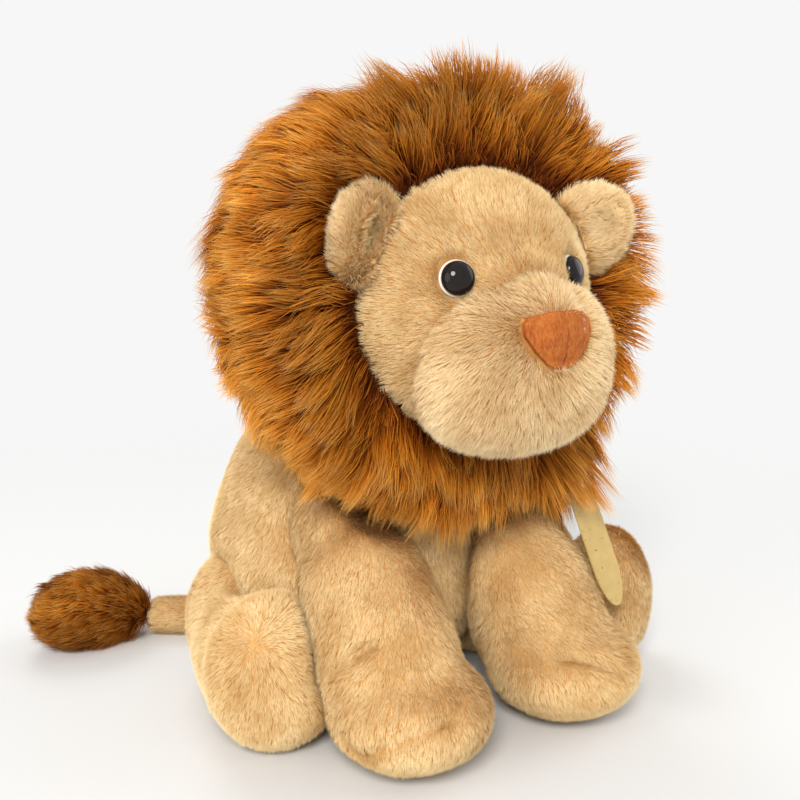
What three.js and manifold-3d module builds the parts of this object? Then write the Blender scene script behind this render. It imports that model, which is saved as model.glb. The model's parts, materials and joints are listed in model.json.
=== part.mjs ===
import * as THREE from "three";
import { mergeVertices } from "three/addons/utils/BufferGeometryUtils.js";
import Module from "manifold-3d";

// A seated plush lion. Millimetres, +Z up, the lion faces -Y and its own left side is +X.
// The origin is on the floor, under the seat panel, on the lion's middle plane.

const wasm = await Module();
wasm.setup();

// Cloth, seams and clearances
const coverThickness = 4; // backing cloth with its short pile
const seamGap = 0.3; // between pieces that are sewn together
const swivelGap = 0.9; // round a ball end that turns in its socket
const sewnShare = 0.25; // how much of the cover is left where a limb lies against the torso
const maneClearance = 1.2; // round the mane, which turns over the shoulders
const legClearance = 1.8; // between a limb and the torso or limb beside it
const flatCut = 0.5; // how deep a form is cut flat where it rests on the floor
const overrun = 20; // how far a cutting solid runs past what it cuts

// Torso
const torsoHeight = 142;
const torsoWidth = 132;
const torsoDepth = 138;
const torsoSunk = 6; // how deep the round bottom is flattened by the seat
const torsoWidthShares = [0.93, 1.0, 1.0, 0.9, 0.72];
const torsoDepthShares = [0.9, 0.98, 1.02, 0.94, 0.74];
const torsoSetbacks = [20, 19, 9, -4, -14]; // of its middle behind the origin, from seat to top
const seatPanelWidth = 60;
const seatPanelDepth = 84;
const torsoRoundness = 5; // how full its ends are
const neckWidth = 40;
const neckTop = 140; // height of the seam between neck and head
const neckRoot = 78; // height at which the neck rises from the torso

// Pellet bag, a flat pouch inside the seat
const pelletBagWidth = 64;
const pelletBagDepth = 80;
const pelletBagHeight = 24;

// Head, a stuffed ball that the face and the mane panels wrap
const headHeight = 190; // of the head's centre above the floor
const headReach = 53; // of the head's centre in front of the origin
const headWidth = 144;
const headDepth = 124;
const headTall = 126;
const faceSeamReach = 31; // of the seam ring in front of the head's centre
const turnAxisReach = 43; // of the upright axis that the head turns about

// Mane
const maneHeight = 194; // of the mane's centre above the floor
const maneReach = 62; // of its widest ring in front of the origin
const maneWidth = 198;
const maneTall = 192;
const maneFrontDepth = 74;
const maneBackDepth = 95;
const faceOpeningWidth = 124;
const faceOpeningTall = 110;
const ruffFlare = 2.2; // how far the mane's front opens sideways for each step forwards
const maneTurnReach = 58; // of the middle of the room that the mane sweeps as the head turns
const maneSideSwell = 5; // how far that room stands outside the mane on each side
const maneFrontSwell = 4;
const maneBackSwell = 3;
const backPanelReach = 36; // of the seam between mane back and mane ring, in front of the origin

// Muzzle and nose
const muzzleWidth = 90;
const muzzleDepth = 50;
const muzzleTall = 69;
const muzzleReach = 105;
const muzzleHeight = 166;
const muzzleSquareness = 2.5; // 2 is a plain ball, more is boxier
const bridgeWidth = 54; // the raised bridge that carries the nose
const bridgeTall = 54;
const bridgeDepth = 68;
const bridgeReach = 98.5;
const bridgeHeight = 180;
const noseWidth = 35;
const noseTall = 22.5;
const noseThickness = 2.4;
const noseHeight = 178.5;
const noseOutlineShares = [
  [-0.49, 0.1],
  [-0.38, -0.16],
  [-0.22, -0.4],
  [-0.08, -0.5],
  [0.08, -0.5],
  [0.22, -0.4],
  [0.38, -0.16],
  [0.49, 0.1],
  [0.49, 0.3],
  [0.38, 0.42],
  [0.16, 0.49],
  [-0.16, 0.49],
  [-0.38, 0.42],
  [-0.49, 0.3],
];

// Eyes
const eyeSpacing = 63;
const eyeHeight = 202;
const eyeDomeWidth = 13.4;
const eyeDomeHeight = 4.6;
const eyeSunk = 2.5; // how deep the rim is pressed into the face
const domeShares = [0.3, 0.6, 0.82, 0.95]; // heights of the dome's rings
const eyeRimWidth = 14.6;
const eyeRimHeight = 1.2;
const eyeShankWidth = 4;
const eyeShankLength = 13;
const eyeWasherWidth = 13;
const eyeWasherThickness = 1.8;

// Ears
const earWidth = 40;
const earTall = 33;
const earThickness = 13;
const earWidthShares = [0.8, 1.0, 0.96, 0.8];
const earDepthShares = [1.0, 1.0, 0.94, 0.8];
const earRise = 26; // degrees that an ear points above level, seen from the front
const earLean = 24; // degrees that an ear leans forwards
const earRootShares = { out: 0.694, ahead: 0.468, up: 0.365 }; // of the head's half sizes, from its centre
const earLineShares = [-0.3, 0.35, 1.0]; // of the ear's line, below and above its root
const earRoundness = 2.6;
const earBowlWidth = 27;
const earBowlTall = 25;
const earBowlDepth = 6;
const earLiningThickness = 2.2;
const earFold = 15; // degrees that an ear folds forwards

// Front legs: a ball at the shoulder, a column and a paw
const shoulderOut = 40;
const shoulderReach = 42;
const shoulderHeight = 88;
const shoulderBallWidth = 40; // across the lion, in its socket
const shoulderBallTall = 55;
const frontLegWidth = 55;
const frontLegDepth = 58;
const frontLegBow = 7; // how far its middle stands forward of a straight line
const frontLegShares = [1.0, 1.0, 1.08, 1.16];
const pawWidth = 68;
const pawLength = 74;
const pawTall = 50;
const pawWidthShares = [0.82, 1.0, 1.0, 0.84];
const pawTallShares = [1.0, 1.0, 0.92, 0.74];
const pawRoundness = 2.4;
const ankleShare = 0.125; // of the paw's length, from its middle back to the ankle
const frontLegRoundness = 8;
const pawPlaces = { right: { out: 39.5, reach: 88 }, left: { out: 46, reach: 92 } };
const frontLegLift = 18; // degrees that a front leg lifts forwards

// Hind legs: a ball at the hip, a shank along the floor and an upright foot
const hipOut = 50;
const hipSetbacks = { right: 28, left: 8 }; // the seat is turned a little under the chest
const thighWidth = 54;
const thighTall = 68;
const shankWidth = 56;
const shankTall = 58;
const footWidth = 61;
const footTall = 70;
const footThickness = 46;
const footShares = [0.84, 1.0, 1.0, 0.88];
const footRoundness = 2.4;
const shankRoundness = 6;
const evenShares = [1.0, 1.0, 1.0];
const hindLegLengths = { right: 95, left: 113 }; // from hip to sole, as each leg is pushed out
const hindSplay = { right: 19, left: 41 }; // degrees that each leg points outwards

const limbOpening = 16; // in each limb's sewn end, for its stuffing

// Tail and its tuft, lying on the floor behind the torso and out to the lion's right
const tailWidth = 20;
const tailHeight = 9.5;
const tailRootSetback = 76;
const tailPlaces = [
  [16, 92],
  [36, 99],
  [60, 116],
]; // of the tail's line, each to the right of and behind the origin
const tuftWidth = 38;
const tuftPlaces = [
  [54, 113, 12],
  [92, 120, 19],
  [119, 110, 20],
]; // of the tuft's line, with its height
const tuftShares = [0.6, 1.0, 0.98, 0.6];
const tailRoundness = 16;
const tuftRoundness = 2.4;

// Swing tag, and the barb that holds it on the left front leg
const tagWidth = 19;
const tagLength = 56;
const tagThickness = 0.9;
const tagHoleWidth = 3.2;
const tagHoleInset = 5;
const tagTilt = 6; // degrees from upright, seen from its face
const tagTurn = 10; // degrees that its face is turned to the lion's left
const tagPitch = 20; // degrees that its lower end stands out
const tagHoleOut = 67;
const tagHoleReach = 82;
const tagHoleHeight = 94;
const barbHeadWidth = 5.4;
const barbHeadThickness = 1;
const barbStemWidth = 1.6;
const barbStemLength = 25;

// Fineness of the forms
const ballAround = 24;
const ballRings = 12;
const limbAround = 14;
const limbRings = 8;
const smallAround = 12;
const smallRings = 6;
const coreAround = 9;
const coreRings = 6;
const sweepSteps = 3; // copies that stand for a turning piece, from rest to its limit

const sides = [
  { name: "right", sign: -1 },
  { name: "left", sign: 1 },
];

const radians = THREE.MathUtils.degToRad;
const vector = (x, y, z) => new THREE.Vector3(x, y, z);
const upright = vector(0, 0, 1);
const sideways = vector(1, 0, 0);

// Turns a closed three.js geometry into a solid
function solidOf(geometry) {
  const bare = geometry.index ? geometry.toNonIndexed() : geometry.clone();
  for (const name of Object.keys(bare.attributes)) if (name !== "position") bare.deleteAttribute(name);
  const merged = mergeVertices(bare);
  const vertProperties = merged.attributes.position.array;
  const triVerts = new Uint32Array(merged.index.array);
  const solid = new wasm.Manifold(new wasm.Mesh({ numProp: 3, vertProperties, triVerts }));
  if (solid.volume() >= 0) return solid;
  return new wasm.Manifold(new wasm.Mesh({ numProp: 3, vertProperties, triVerts: triVerts.reverse() }));
}

// Turns a solid back into a three.js geometry
function geometryOf(solid) {
  const mesh = solid.getMesh();
  const geometry = new THREE.BufferGeometry();
  geometry.setAttribute("position", new THREE.BufferAttribute(mesh.vertProperties, mesh.numProp));
  geometry.setIndex(new THREE.BufferAttribute(mesh.triVerts, 1));
  const faceted = geometry.toNonIndexed();
  faceted.computeVertexNormals();
  return faceted;
}

const joined = (...solids) => solids.reduce((whole, next) => whole.add(next));
const cutBy = (solid, ...cutters) => cutters.reduce((left, cutter) => left.subtract(cutter), solid);
const moved = (solid, matrix) => solidOf(geometryOf(solid).applyMatrix4(matrix));
const mirrored = (solid) => moved(solid, new THREE.Matrix4().makeScale(-1, 1, 1));

// A solid turned about an axis through a pivot
function turnedAbout(solid, pivot, axis, degrees) {
  const there = new THREE.Matrix4().makeTranslation(pivot);
  const turn = new THREE.Matrix4().makeRotationAxis(axis, radians(degrees));
  const back = new THREE.Matrix4().makeTranslation(pivot.clone().negate());
  return moved(solid, there.multiply(turn).multiply(back));
}

// The room that a neighbour takes, seen from a piece that turns from rest to its limit
function roomOver(neighbour, pivot, axis, limit) {
  const copies = [neighbour];
  for (let step = 1; step <= sweepSteps; step++)
    copies.push(turnedAbout(neighbour, pivot, axis, (-limit * step) / sweepSteps));
  return joined(...copies);
}

const ballFine = { around: ballAround, rings: ballRings };
const limbFine = { around: limbAround, rings: limbRings };
const smallFine = { around: smallAround, rings: smallRings };
const coreFine = { around: coreAround, rings: coreRings };
const fineFor = (grow) => (grow < 0 ? coreFine : limbFine);

// How far a faceted form must grow for its flat facets to clear the round form inside it
const facetRise = (half, fine) => half / Math.cos(Math.PI / fine.around) - half;

// An upright ball with its own half sizes; its back half may be deeper and its sides squarer. As the
// room of another piece it is stretched until its facets lie outside the ball.
function ball(centre, halfX, halfFront, halfZ, more = {}) {
  const { halfBack = halfFront, squareness = 2, fine = ballFine, isRoom = false } = more;
  const rise = isRoom ? 1 / (Math.cos(Math.PI / fine.around) * Math.cos(Math.PI / 2 / fine.rings)) : 1;
  const geometry = new THREE.SphereGeometry(1, fine.around, fine.rings).rotateX(Math.PI / 2);
  const place = geometry.attributes.position;
  const power = (value) => Math.abs(value) ** squareness;
  for (let i = 0; i < place.count; i++) {
    const [x, y, z] = [place.getX(i), place.getY(i), place.getZ(i)];
    const stretch = rise * (power(x) + power(y) + power(z)) ** (-1 / squareness);
    const deep = y > 0 ? halfBack : halfFront;
    place.setXYZ(i, halfX * stretch * x, deep * stretch * y, halfZ * stretch * z);
  }
  return solidOf(geometry.translate(centre.x, centre.y, centre.z));
}

// A value read between equally spaced shares
function between(shares, at) {
  const place = at * (shares.length - 1);
  const station = Math.min(Math.floor(place), shares.length - 2);
  const part = place - station;
  const ease = part * part * (3 - 2 * part);
  return shares[station] * (1 - ease) + shares[station + 1] * ease;
}

// A closed stuffed form that swells and tapers along a line, with rounded ends. Its width and depth
// follow shares at equally spaced stations of the line, and grow adds to it on every side.
function stuffedForm({ line, across, width, depth, widthShares, depthShares, roundness, grow = 0, fine }) {
  const points = line.map((point) => point.clone());
  points[0].add(line[0].clone().sub(line[1]).setLength(1).multiplyScalar(grow));
  points.at(-1).add(line.at(-1).clone().sub(line.at(-2)).setLength(1).multiplyScalar(grow));
  const curve = new THREE.CatmullRomCurve3(points);
  const { around, rings } = fine;
  const places = [];
  for (let ring = 1; ring < rings; ring++) {
    const share = (1 - Math.cos((Math.PI * ring) / rings)) / 2;
    const centre = curve.getPoint(share);
    const along = curve.getTangent(share);
    const deepWay = along.clone().cross(across).normalize();
    const acrossWay = deepWay.clone().cross(along).normalize();
    const full = Math.sqrt(1 - Math.abs(2 * share - 1) ** roundness);
    const halfWide = ((width / 2) * between(widthShares, share) + grow) * full;
    const halfDeep = ((depth / 2) * between(depthShares, share) + grow) * full;
    for (let step = 0; step < around; step++) {
      const angle = (2 * Math.PI * step) / around;
      const point = centre.clone().addScaledVector(acrossWay, halfWide * Math.cos(angle));
      places.push(point.addScaledVector(deepWay, halfDeep * Math.sin(angle)));
    }
  }
  const start = places.length;
  const lastRing = start - around;
  places.push(points[0], points.at(-1));
  const faces = [];
  for (let step = 0; step < around; step++) {
    const next = (step + 1) % around;
    faces.push(start, next, step, start + 1, lastRing + step, lastRing + next);
    for (let low = 0; low < lastRing; low += around) {
      const high = low + around;
      faces.push(low + step, low + next, high + next, low + step, high + next, high + step);
    }
  }
  const geometry = new THREE.BufferGeometry().setFromPoints(places);
  return solidOf(geometry.setIndex(faces));
}

function box(low, high) {
  const size = high.clone().sub(low);
  const middle = low.clone().add(high).divideScalar(2);
  return solidOf(new THREE.BoxGeometry(size.x, size.y, size.z).translate(middle.x, middle.y, middle.z));
}

// An upright elliptic disc from one height to another
function disc(centre, halfX, halfY, low, high) {
  const geometry = new THREE.CylinderGeometry(1, 1, high - low, ballAround).rotateX(Math.PI / 2);
  return solidOf(geometry.scale(halfX, halfY, 1).translate(centre.x, centre.y, (low + high) / 2));
}

// A piece turned from a profile of [radius, height] pairs about its own +Z
function lathe(profile) {
  const points = profile.map(([radius, height]) => new THREE.Vector2(radius, height));
  return solidOf(new THREE.LatheGeometry(points, smallAround).rotateX(Math.PI / 2));
}

const farOut = maneWidth + torsoDepth; // larger than the whole lion
const below = (height) => box(vector(-farOut, -farOut, -farOut), vector(farOut, farOut, height));
const onFloor = (solid) => cutBy(solid, below(0));

// Materials
const shortPile = { color: 0xdcb884, roughness: 0.95 };
const palePile = { color: 0xe8cda0, roughness: 0.95 };
const longPile = { color: 0xa8622a, roughness: 0.9 };
const fibre = { color: 0xf2efe8, roughness: 1 };
const suede = { color: 0xc06a3c, roughness: 0.85 };
const blackGloss = { color: 0x120c0a, roughness: 0.08 };
const whiteGloss = { color: 0xf3efe6, roughness: 0.4 };
const nylon = { color: 0xe6e2d8, roughness: 0.5 };
const card = { color: 0xd2b877, roughness: 0.8 };

// Places that several pieces share
const headCentre = vector(0, -headReach, headHeight);
const neckCentre = vector(0, -turnAxisReach, 0);
const seamPlaneY = -headReach - faceSeamReach;
const shoulderOf = (side) => vector(side.sign * shoulderOut, -shoulderReach, shoulderHeight);
const hipOf = (side) => vector(side.sign * hipOut, hipSetbacks[side.name], thighTall / 2 - flatCut);
const hindWay = (side) => {
  const angle = radians(hindSplay[side.name]);
  return vector(side.sign * Math.sin(angle), -Math.cos(angle), 0);
};
const tailRoot = vector(0, tailRootSetback, tailHeight);

const headBall = (grow, fine = ballFine) =>
  ball(headCentre, headWidth / 2 + grow, headDepth / 2 + grow, headTall / 2 + grow, { fine });
const neckPlug = (grow) =>
  disc(neckCentre, neckWidth / 2 + grow, neckWidth / 2 + grow, neckRoot, neckTop + grow);
const maneTurnRoom = (grow, fine) => {
  const room = maneClearance + grow;
  const forward = maneReach - maneTurnReach;
  const halfX = maneWidth / 2 + maneSideSwell + room;
  const halfFront = maneFrontDepth + forward + maneFrontSwell + room;
  const halfBack = maneBackDepth - forward + maneBackSwell + room;
  const turnCentre = vector(0, -maneTurnReach, maneHeight);
  return ball(turnCentre, halfX, halfFront, maneTall / 2 + room, { halfBack, fine, isRoom: true });
};
// The opening that a limb is turned and stuffed through, on the side that is sewn to the torso
const openingAt = (place, side) => {
  const inwards = place.x - side.sign * farOut;
  const half = limbOpening / 2;
  const low = vector(Math.min(place.x, inwards), place.y - half, place.z - half);
  return box(low, vector(Math.max(place.x, inwards), place.y + half, place.z + half));
};
const shoulderBall = (side, grow, fine) => {
  const half = shoulderBallTall / 2 + grow;
  return ball(shoulderOf(side), shoulderBallWidth / 2 + grow, half, half, { fine });
};
const hipBall = (side, grow, fine) => {
  const half = thighWidth / 2 + grow;
  return ball(hipOf(side), half, half, thighTall / 2 + grow, { fine });
};
const tailBall = (grow, fine = smallFine) => {
  const half = tailWidth / 2 + grow;
  return ball(tailRoot, half, half, half, { fine });
};

// Front leg: a stuffed column from the shoulder to the paw, cut clear of the mane above it
function frontLegForm(side, grow, fine = fineFor(grow)) {
  const shoulder = shoulderOf(side);
  const { out, reach } = pawPlaces[side.name];
  const pawHeight = pawTall / 2 - flatCut;
  const ankle = vector(side.sign * out, -reach + pawLength * ankleShare, pawHeight);
  const middle = shoulder.clone().lerp(ankle, 0.5).add(vector(0, -frontLegBow, 0));
  const column = stuffedForm({
    line: [shoulder, middle, ankle],
    across: sideways,
    width: frontLegWidth,
    depth: frontLegDepth,
    widthShares: frontLegShares,
    depthShares: frontLegShares,
    roundness: frontLegRoundness,
    grow,
    fine,
  });
  const heel = vector(side.sign * out, -reach + pawLength / 2, pawHeight);
  const toe = vector(side.sign * out, -reach - pawLength / 2, pawHeight);
  const paw = stuffedForm({
    line: [heel, heel.clone().lerp(toe, 0.5), toe],
    across: sideways,
    width: pawWidth,
    depth: pawTall,
    widthShares: pawWidthShares,
    depthShares: pawTallShares,
    roundness: pawRoundness,
    grow,
    fine,
  });
  return joined(column, paw);
}

function frontLegSolid(side, grow) {
  const fine = fineFor(grow);
  const room = roomOver(maneTurnRoom(-grow, fine), shoulderOf(side), sideways, -frontLegLift);
  const neckRoom = neckPlug(legClearance - grow);
  const outside = cutBy(frontLegForm(side, grow), torsoRoom(-grow * sewnShare, fine), neckRoom);
  const whole = joined(outside, shoulderBall(side, grow, fine));
  return cutBy(whole, room, below(Math.max(-grow, 0)));
}

const frontLegRoom = (side, grow) =>
  frontLegForm(side, legClearance + grow + facetRise(pawWidth / 2, smallFine), smallFine);

// Hind leg: a stuffed thigh ball, a shank along the floor and an upright foot
function hindLegForm(side, grow) {
  const hip = hipOf(side);
  const way = hindWay(side);
  const across = way.clone().cross(upright);
  const shankHeight = shankTall / 2 - flatCut;
  const footHeight = footTall / 2 - flatCut;
  const length = hindLegLengths[side.name];
  const along = (distance, height) => vector(hip.x, hip.y, height).addScaledVector(way, distance);
  const shank = stuffedForm({
    line: [along(0, shankHeight), along(length / 2, shankHeight), along(length, shankHeight)],
    across,
    width: shankWidth,
    depth: shankTall,
    widthShares: evenShares,
    depthShares: evenShares,
    roundness: shankRoundness,
    grow,
    fine: fineFor(grow),
  });
  const heel = length - footThickness;
  const foot = stuffedForm({
    line: [along(heel, footHeight), along(length - footThickness / 2, footHeight), along(length, footHeight)],
    across,
    width: footWidth,
    depth: footTall,
    widthShares: footShares,
    depthShares: footShares,
    roundness: footRoundness,
    grow,
    fine: fineFor(grow),
  });
  return joined(shank, foot);
}

function hindLegSolid(side, grow) {
  const fine = fineFor(grow);
  const outside = cutBy(hindLegForm(side, grow), torsoRoom(-grow * sewnShare, fine));
  const whole = joined(outside, hipBall(side, grow, fine));
  return cutBy(whole, frontLegRoom(side, -grow), below(Math.max(-grow, 0)));
}

// Torso: a pear-shaped form with sockets for the legs, the tail and the mane
const seatSetback = torsoSetbacks[0];
function torsoForm(grow, fine) {
  const step = (torsoHeight + torsoSunk) / (torsoSetbacks.length - 1);
  return stuffedForm({
    line: torsoSetbacks.map((setback, i) => vector(0, setback, step * i - torsoSunk)),
    across: sideways,
    width: torsoWidth,
    depth: torsoDepth,
    widthShares: torsoWidthShares,
    depthShares: torsoDepthShares,
    roundness: torsoRoundness,
    grow,
    fine,
  });
}

// The room that the torso takes from a limb beside it
function torsoRoom(grow, fine = limbFine) {
  const { around } = fine;
  return torsoForm(legClearance + grow + facetRise(torsoDepth / 2, fine), { around, rings: ballRings });
}

function torsoSolid(inset, fine) {
  const sockets = sides.flatMap((side) => [
    shoulderBall(side, swivelGap + inset, fineFor(-inset)),
    hipBall(side, swivelGap + inset, fineFor(-inset)),
  ]);
  const body = cutBy(torsoForm(-inset, fine), maneTurnRoom(inset, fine), tailBall(swivelGap + inset));
  const neck = cutBy(neckPlug(-inset), below(neckRoot));
  return cutBy(joined(body, neck), below(inset), ...sockets);
}

const seatCentre = vector(0, seatSetback, 0);
const seatPanel = (grow) =>
  disc(seatCentre, seatPanelWidth / 2 + grow, seatPanelDepth / 2 + grow, -grow, coverThickness + grow);
const pelletLow = coverThickness + seamGap;
const pelletBag = (grow) =>
  ball(
    vector(0, seatSetback, pelletLow),
    pelletBagWidth / 2 + grow,
    pelletBagDepth / 2 + grow,
    pelletBagHeight + grow,
    { fine: limbFine },
  );
const torsoInside = torsoSolid(coverThickness + seamGap, smallFine);
const torsoStuffing = cutBy(torsoInside, pelletBag(seamGap));
const torsoCover = cutBy(torsoSolid(0, ballFine), torsoSolid(coverThickness, smallFine), seatPanel(seamGap));

// Eyes: a domed bead with a shank, a rim under it and a washer behind the face
const eyeOut = eyeSpacing / 2;
const eyeUp = eyeHeight - headHeight;
const eyeForward =
  (headDepth / 2) * Math.sqrt(1 - (eyeOut / (headWidth / 2)) ** 2 - (eyeUp / (headTall / 2)) ** 2);

function eyeMatrix(side) {
  const outward = vector(
    (side.sign * eyeOut) / (headWidth / 2) ** 2,
    -eyeForward / (headDepth / 2) ** 2,
    eyeUp / (headTall / 2) ** 2,
  ).normalize();
  const place = vector(side.sign * eyeOut, -headReach - eyeForward, eyeHeight).addScaledVector(outward, -eyeSunk);
  const turn = new THREE.Quaternion().setFromUnitVectors(upright, outward);
  return new THREE.Matrix4().compose(place, turn, vector(1, 1, 1));
}

const rimHalf = eyeRimWidth / 2;
const rimLow = -eyeRimHeight / 2;
const domeLow = eyeRimHeight / 2 + seamGap;
const domeHalf = eyeDomeWidth / 2;
const shankHalf = eyeShankWidth / 2;
const washerTop = -coverThickness - seamGap;
const washerLow = washerTop - eyeWasherThickness;
const domeProfile = [[0, -eyeShankLength], [shankHalf, -eyeShankLength], [shankHalf, domeLow], [domeHalf, domeLow]];
for (const share of domeShares)
  domeProfile.push([domeHalf * Math.sqrt(1 - share ** 2), domeLow + eyeDomeHeight * share]);
domeProfile.push([0, domeLow + eyeDomeHeight]);
const ringProfile = (inner, outer, low, high) => [
  [inner, low],
  [outer, low],
  [outer, high],
  [inner, high],
  [inner, low],
];
const eyeDome = lathe(domeProfile);
const eyeRim = lathe(ringProfile(shankHalf + seamGap, rimHalf, rimLow, eyeRimHeight / 2));
const eyeWasher = lathe(ringProfile(shankHalf + seamGap, eyeWasherWidth / 2, washerLow, washerTop));
const plug = (radius, low, high) => lathe([[0, low], [radius, low], [radius, high], [0, high]]);
const eyeRoom = joined(
  plug(shankHalf + seamGap, -eyeShankLength - seamGap, overrun),
  plug(eyeWasherWidth / 2 + seamGap, washerLow - seamGap, washerTop + seamGap),
  plug(rimHalf + seamGap, rimLow - seamGap, overrun),
);
const eyeRooms = sides.map((side) => moved(eyeRoom, eyeMatrix(side)));

// Head: a stuffed ball, the face panel sewn over its front and the muzzle sewn on the face
const inFrontOfSeam = box(vector(-farOut, -farOut, -farOut), vector(farOut, seamPlaneY, farOut));
const headStuffing = cutBy(headBall(-coverThickness - seamGap), neckPlug(seamGap), ...eyeRooms);
const faceCover = cutBy(headBall(0).intersect(inFrontOfSeam), headBall(-coverThickness), ...eyeRooms);
const muzzleCentre = vector(0, -muzzleReach, muzzleHeight);
const bridgeCentre = vector(0, -bridgeReach, bridgeHeight);
const muzzleBall = (grow, fine = ballFine) =>
  joined(
    ball(muzzleCentre, muzzleWidth / 2 + grow, muzzleDepth / 2 + grow, muzzleTall / 2 + grow, {
      squareness: muzzleSquareness,
      fine,
    }),
    ball(bridgeCentre, bridgeWidth / 2 + grow, bridgeDepth / 2 + grow, bridgeTall / 2 + grow, { fine }),
  );
const muzzleOpen = cutBy(muzzleBall(0), headBall(seamGap), ...eyeRooms);
const muzzleCover = cutBy(muzzleOpen, muzzleBall(-coverThickness, limbFine));
const muzzleStuffing = cutBy(muzzleBall(-coverThickness - seamGap, limbFine), headBall(seamGap), ...eyeRooms);

// Nose: a suede patch laid on the muzzle
const noseOutline = new THREE.Shape(
  noseOutlineShares.map(([across, up]) => new THREE.Vector2(across * noseWidth, up * noseTall)),
);
const noseBlock = new THREE.ExtrudeGeometry(noseOutline, { depth: muzzleDepth, bevelEnabled: false });
noseBlock.rotateX(Math.PI / 2).translate(0, -muzzleReach, noseHeight);
const nosePatch = cutBy(
  solidOf(noseBlock).intersect(muzzleBall(seamGap + noseThickness)),
  muzzleBall(seamGap),
  headBall(seamGap),
);

// Ears: a stuffed back with a hollow front, and a lining in the hollow
const earRoot = vector(
  (headWidth / 2) * earRootShares.out,
  -headReach - (headDepth / 2) * earRootShares.ahead,
  headHeight + (headTall / 2) * earRootShares.up,
);
const earOutward = vector(
  Math.cos(radians(earRise)) * Math.cos(radians(earLean)),
  -Math.sin(radians(earLean)),
  Math.sin(radians(earRise)) * Math.cos(radians(earLean)),
);
const earAxis = vector(-Math.sin(radians(earRise)), 0, Math.cos(radians(earRise)));
const earFront = earOutward.clone().cross(earAxis).normalize();
const earFoldAxis = earAxis.clone().negate();
const earForm = (grow) =>
  stuffedForm({
    line: earLineShares.map((share) => earRoot.clone().addScaledVector(earOutward, share * earTall)),
    across: earAxis,
    width: earWidth,
    depth: earThickness,
    widthShares: earWidthShares,
    depthShares: earDepthShares,
    roundness: earRoundness,
    grow,
    fine: smallFine,
  });
const earBowlCentre = earRoot
  .clone()
  .addScaledVector(earOutward, earTall / 2)
  .addScaledVector(earFront, earThickness / 2);
function earBowl(grow) {
  const fine = smallFine;
  const bowl = ball(vector(0, 0, 0), earBowlWidth / 2 + grow, earBowlDepth + grow, earBowlTall / 2 + grow, { fine });
  const frame = new THREE.Matrix4().makeBasis(earAxis, earFront, earAxis.clone().cross(earFront));
  return moved(bowl, frame.setPosition(earBowlCentre));
}
const headRoomOfEar = joined(
  headBall(seamGap),
  roomOver(headBall(swivelGap + facetRise(headWidth / 2, limbFine), limbFine), earRoot, earFoldAxis, earFold),
);
const earBack = cutBy(earForm(0), earBowl(0), headRoomOfEar);
const earLining = cutBy(
  earForm(0).intersect(earBowl(-seamGap)),
  earBowl(-seamGap - earLiningThickness),
  headRoomOfEar,
);
const ofSide = (side, solid) => (side.sign > 0 ? solid : mirrored(solid));
const earRoom = roomOver(earForm(swivelGap), earRoot, earFoldAxis, -earFold);
const earRooms = sides.map((side) => ofSide(side, earRoom));

// Mane: a ball of long pile round the head, open at the face, in five sewn panels
const maneCentre = vector(0, -maneReach, maneHeight);
const maneBall = ball(maneCentre, maneWidth / 2, maneFrontDepth, maneTall / 2, { halfBack: maneBackDepth });
const openingDeep = maneFrontDepth + overrun;
const openingHalf = faceOpeningWidth / 2;
const openingCone = new THREE.CylinderGeometry(
  openingHalf,
  openingHalf + openingDeep * ruffFlare,
  openingDeep,
  ballAround,
);
openingCone.rotateX(Math.PI).scale(1, 1, faceOpeningTall / faceOpeningWidth);
openingCone.translate(0, seamPlaneY - openingDeep / 2, headHeight);
const maneWhole = cutBy(maneBall, headBall(-coverThickness), solidOf(openingCone), neckPlug(seamGap), ...earRooms);
const halfSeam = seamGap / 2;
const backSeam = (side) =>
  side > 0
    ? box(vector(-farOut, -backPanelReach + halfSeam, -farOut), vector(farOut, farOut, farOut))
    : box(vector(-farOut, -farOut, -farOut), vector(farOut, -backPanelReach - halfSeam, farOut));
const maneRing = maneWhole.intersect(backSeam(-1));
const ringTurns = { mane_crown: 0, mane_left: 90, mane_bib: 180, mane_right: 270 };

// A quarter of the mane ring, between two seams that run out from the head's centre
function ringQuarter(turn) {
  const corner = box(vector(halfSeam, -farOut, halfSeam), vector(farOut, farOut, farOut));
  const matrix = new THREE.Matrix4().makeRotationY(radians(turn - 45));
  return maneRing.intersect(moved(corner, matrix.setPosition(0, 0, headHeight)));
}

// Tail and tuft
const tailLine = [tailRoot, ...tailPlaces.map(([out, back]) => vector(-out, back, tailHeight))];
const tailForm = (grow, fine = smallFine) =>
  stuffedForm({
    line: tailLine,
    across: upright,
    width: tailWidth,
    depth: tailWidth,
    widthShares: evenShares,
    depthShares: evenShares,
    roundness: tailRoundness,
    grow,
    fine,
  });
const tailSolid = (grow) => {
  const fine = grow < 0 ? coreFine : smallFine;
  const outside = cutBy(tailForm(grow, fine), torsoRoom(-grow * sewnShare));
  return cutBy(joined(outside, tailBall(grow, fine)), below(Math.max(-grow, 0)));
};
const tailOpeningHalf = tailWidth / 4;
const tailOpening = box(
  vector(-tailOpeningHalf, 0, tailHeight - tailOpeningHalf),
  tailRoot.clone().add(vector(tailOpeningHalf, 0, tailOpeningHalf)),
);
const tuftForm = stuffedForm({
  line: tuftPlaces.map(([out, back, height]) => vector(-out, back, height)),
  across: upright,
  width: tuftWidth,
  depth: tuftWidth,
  widthShares: tuftShares,
  depthShares: tuftShares,
  roundness: tuftRoundness,
  fine: limbFine,
});
const tailTuft = onFloor(cutBy(tuftForm, tailForm(seamGap)));

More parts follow.
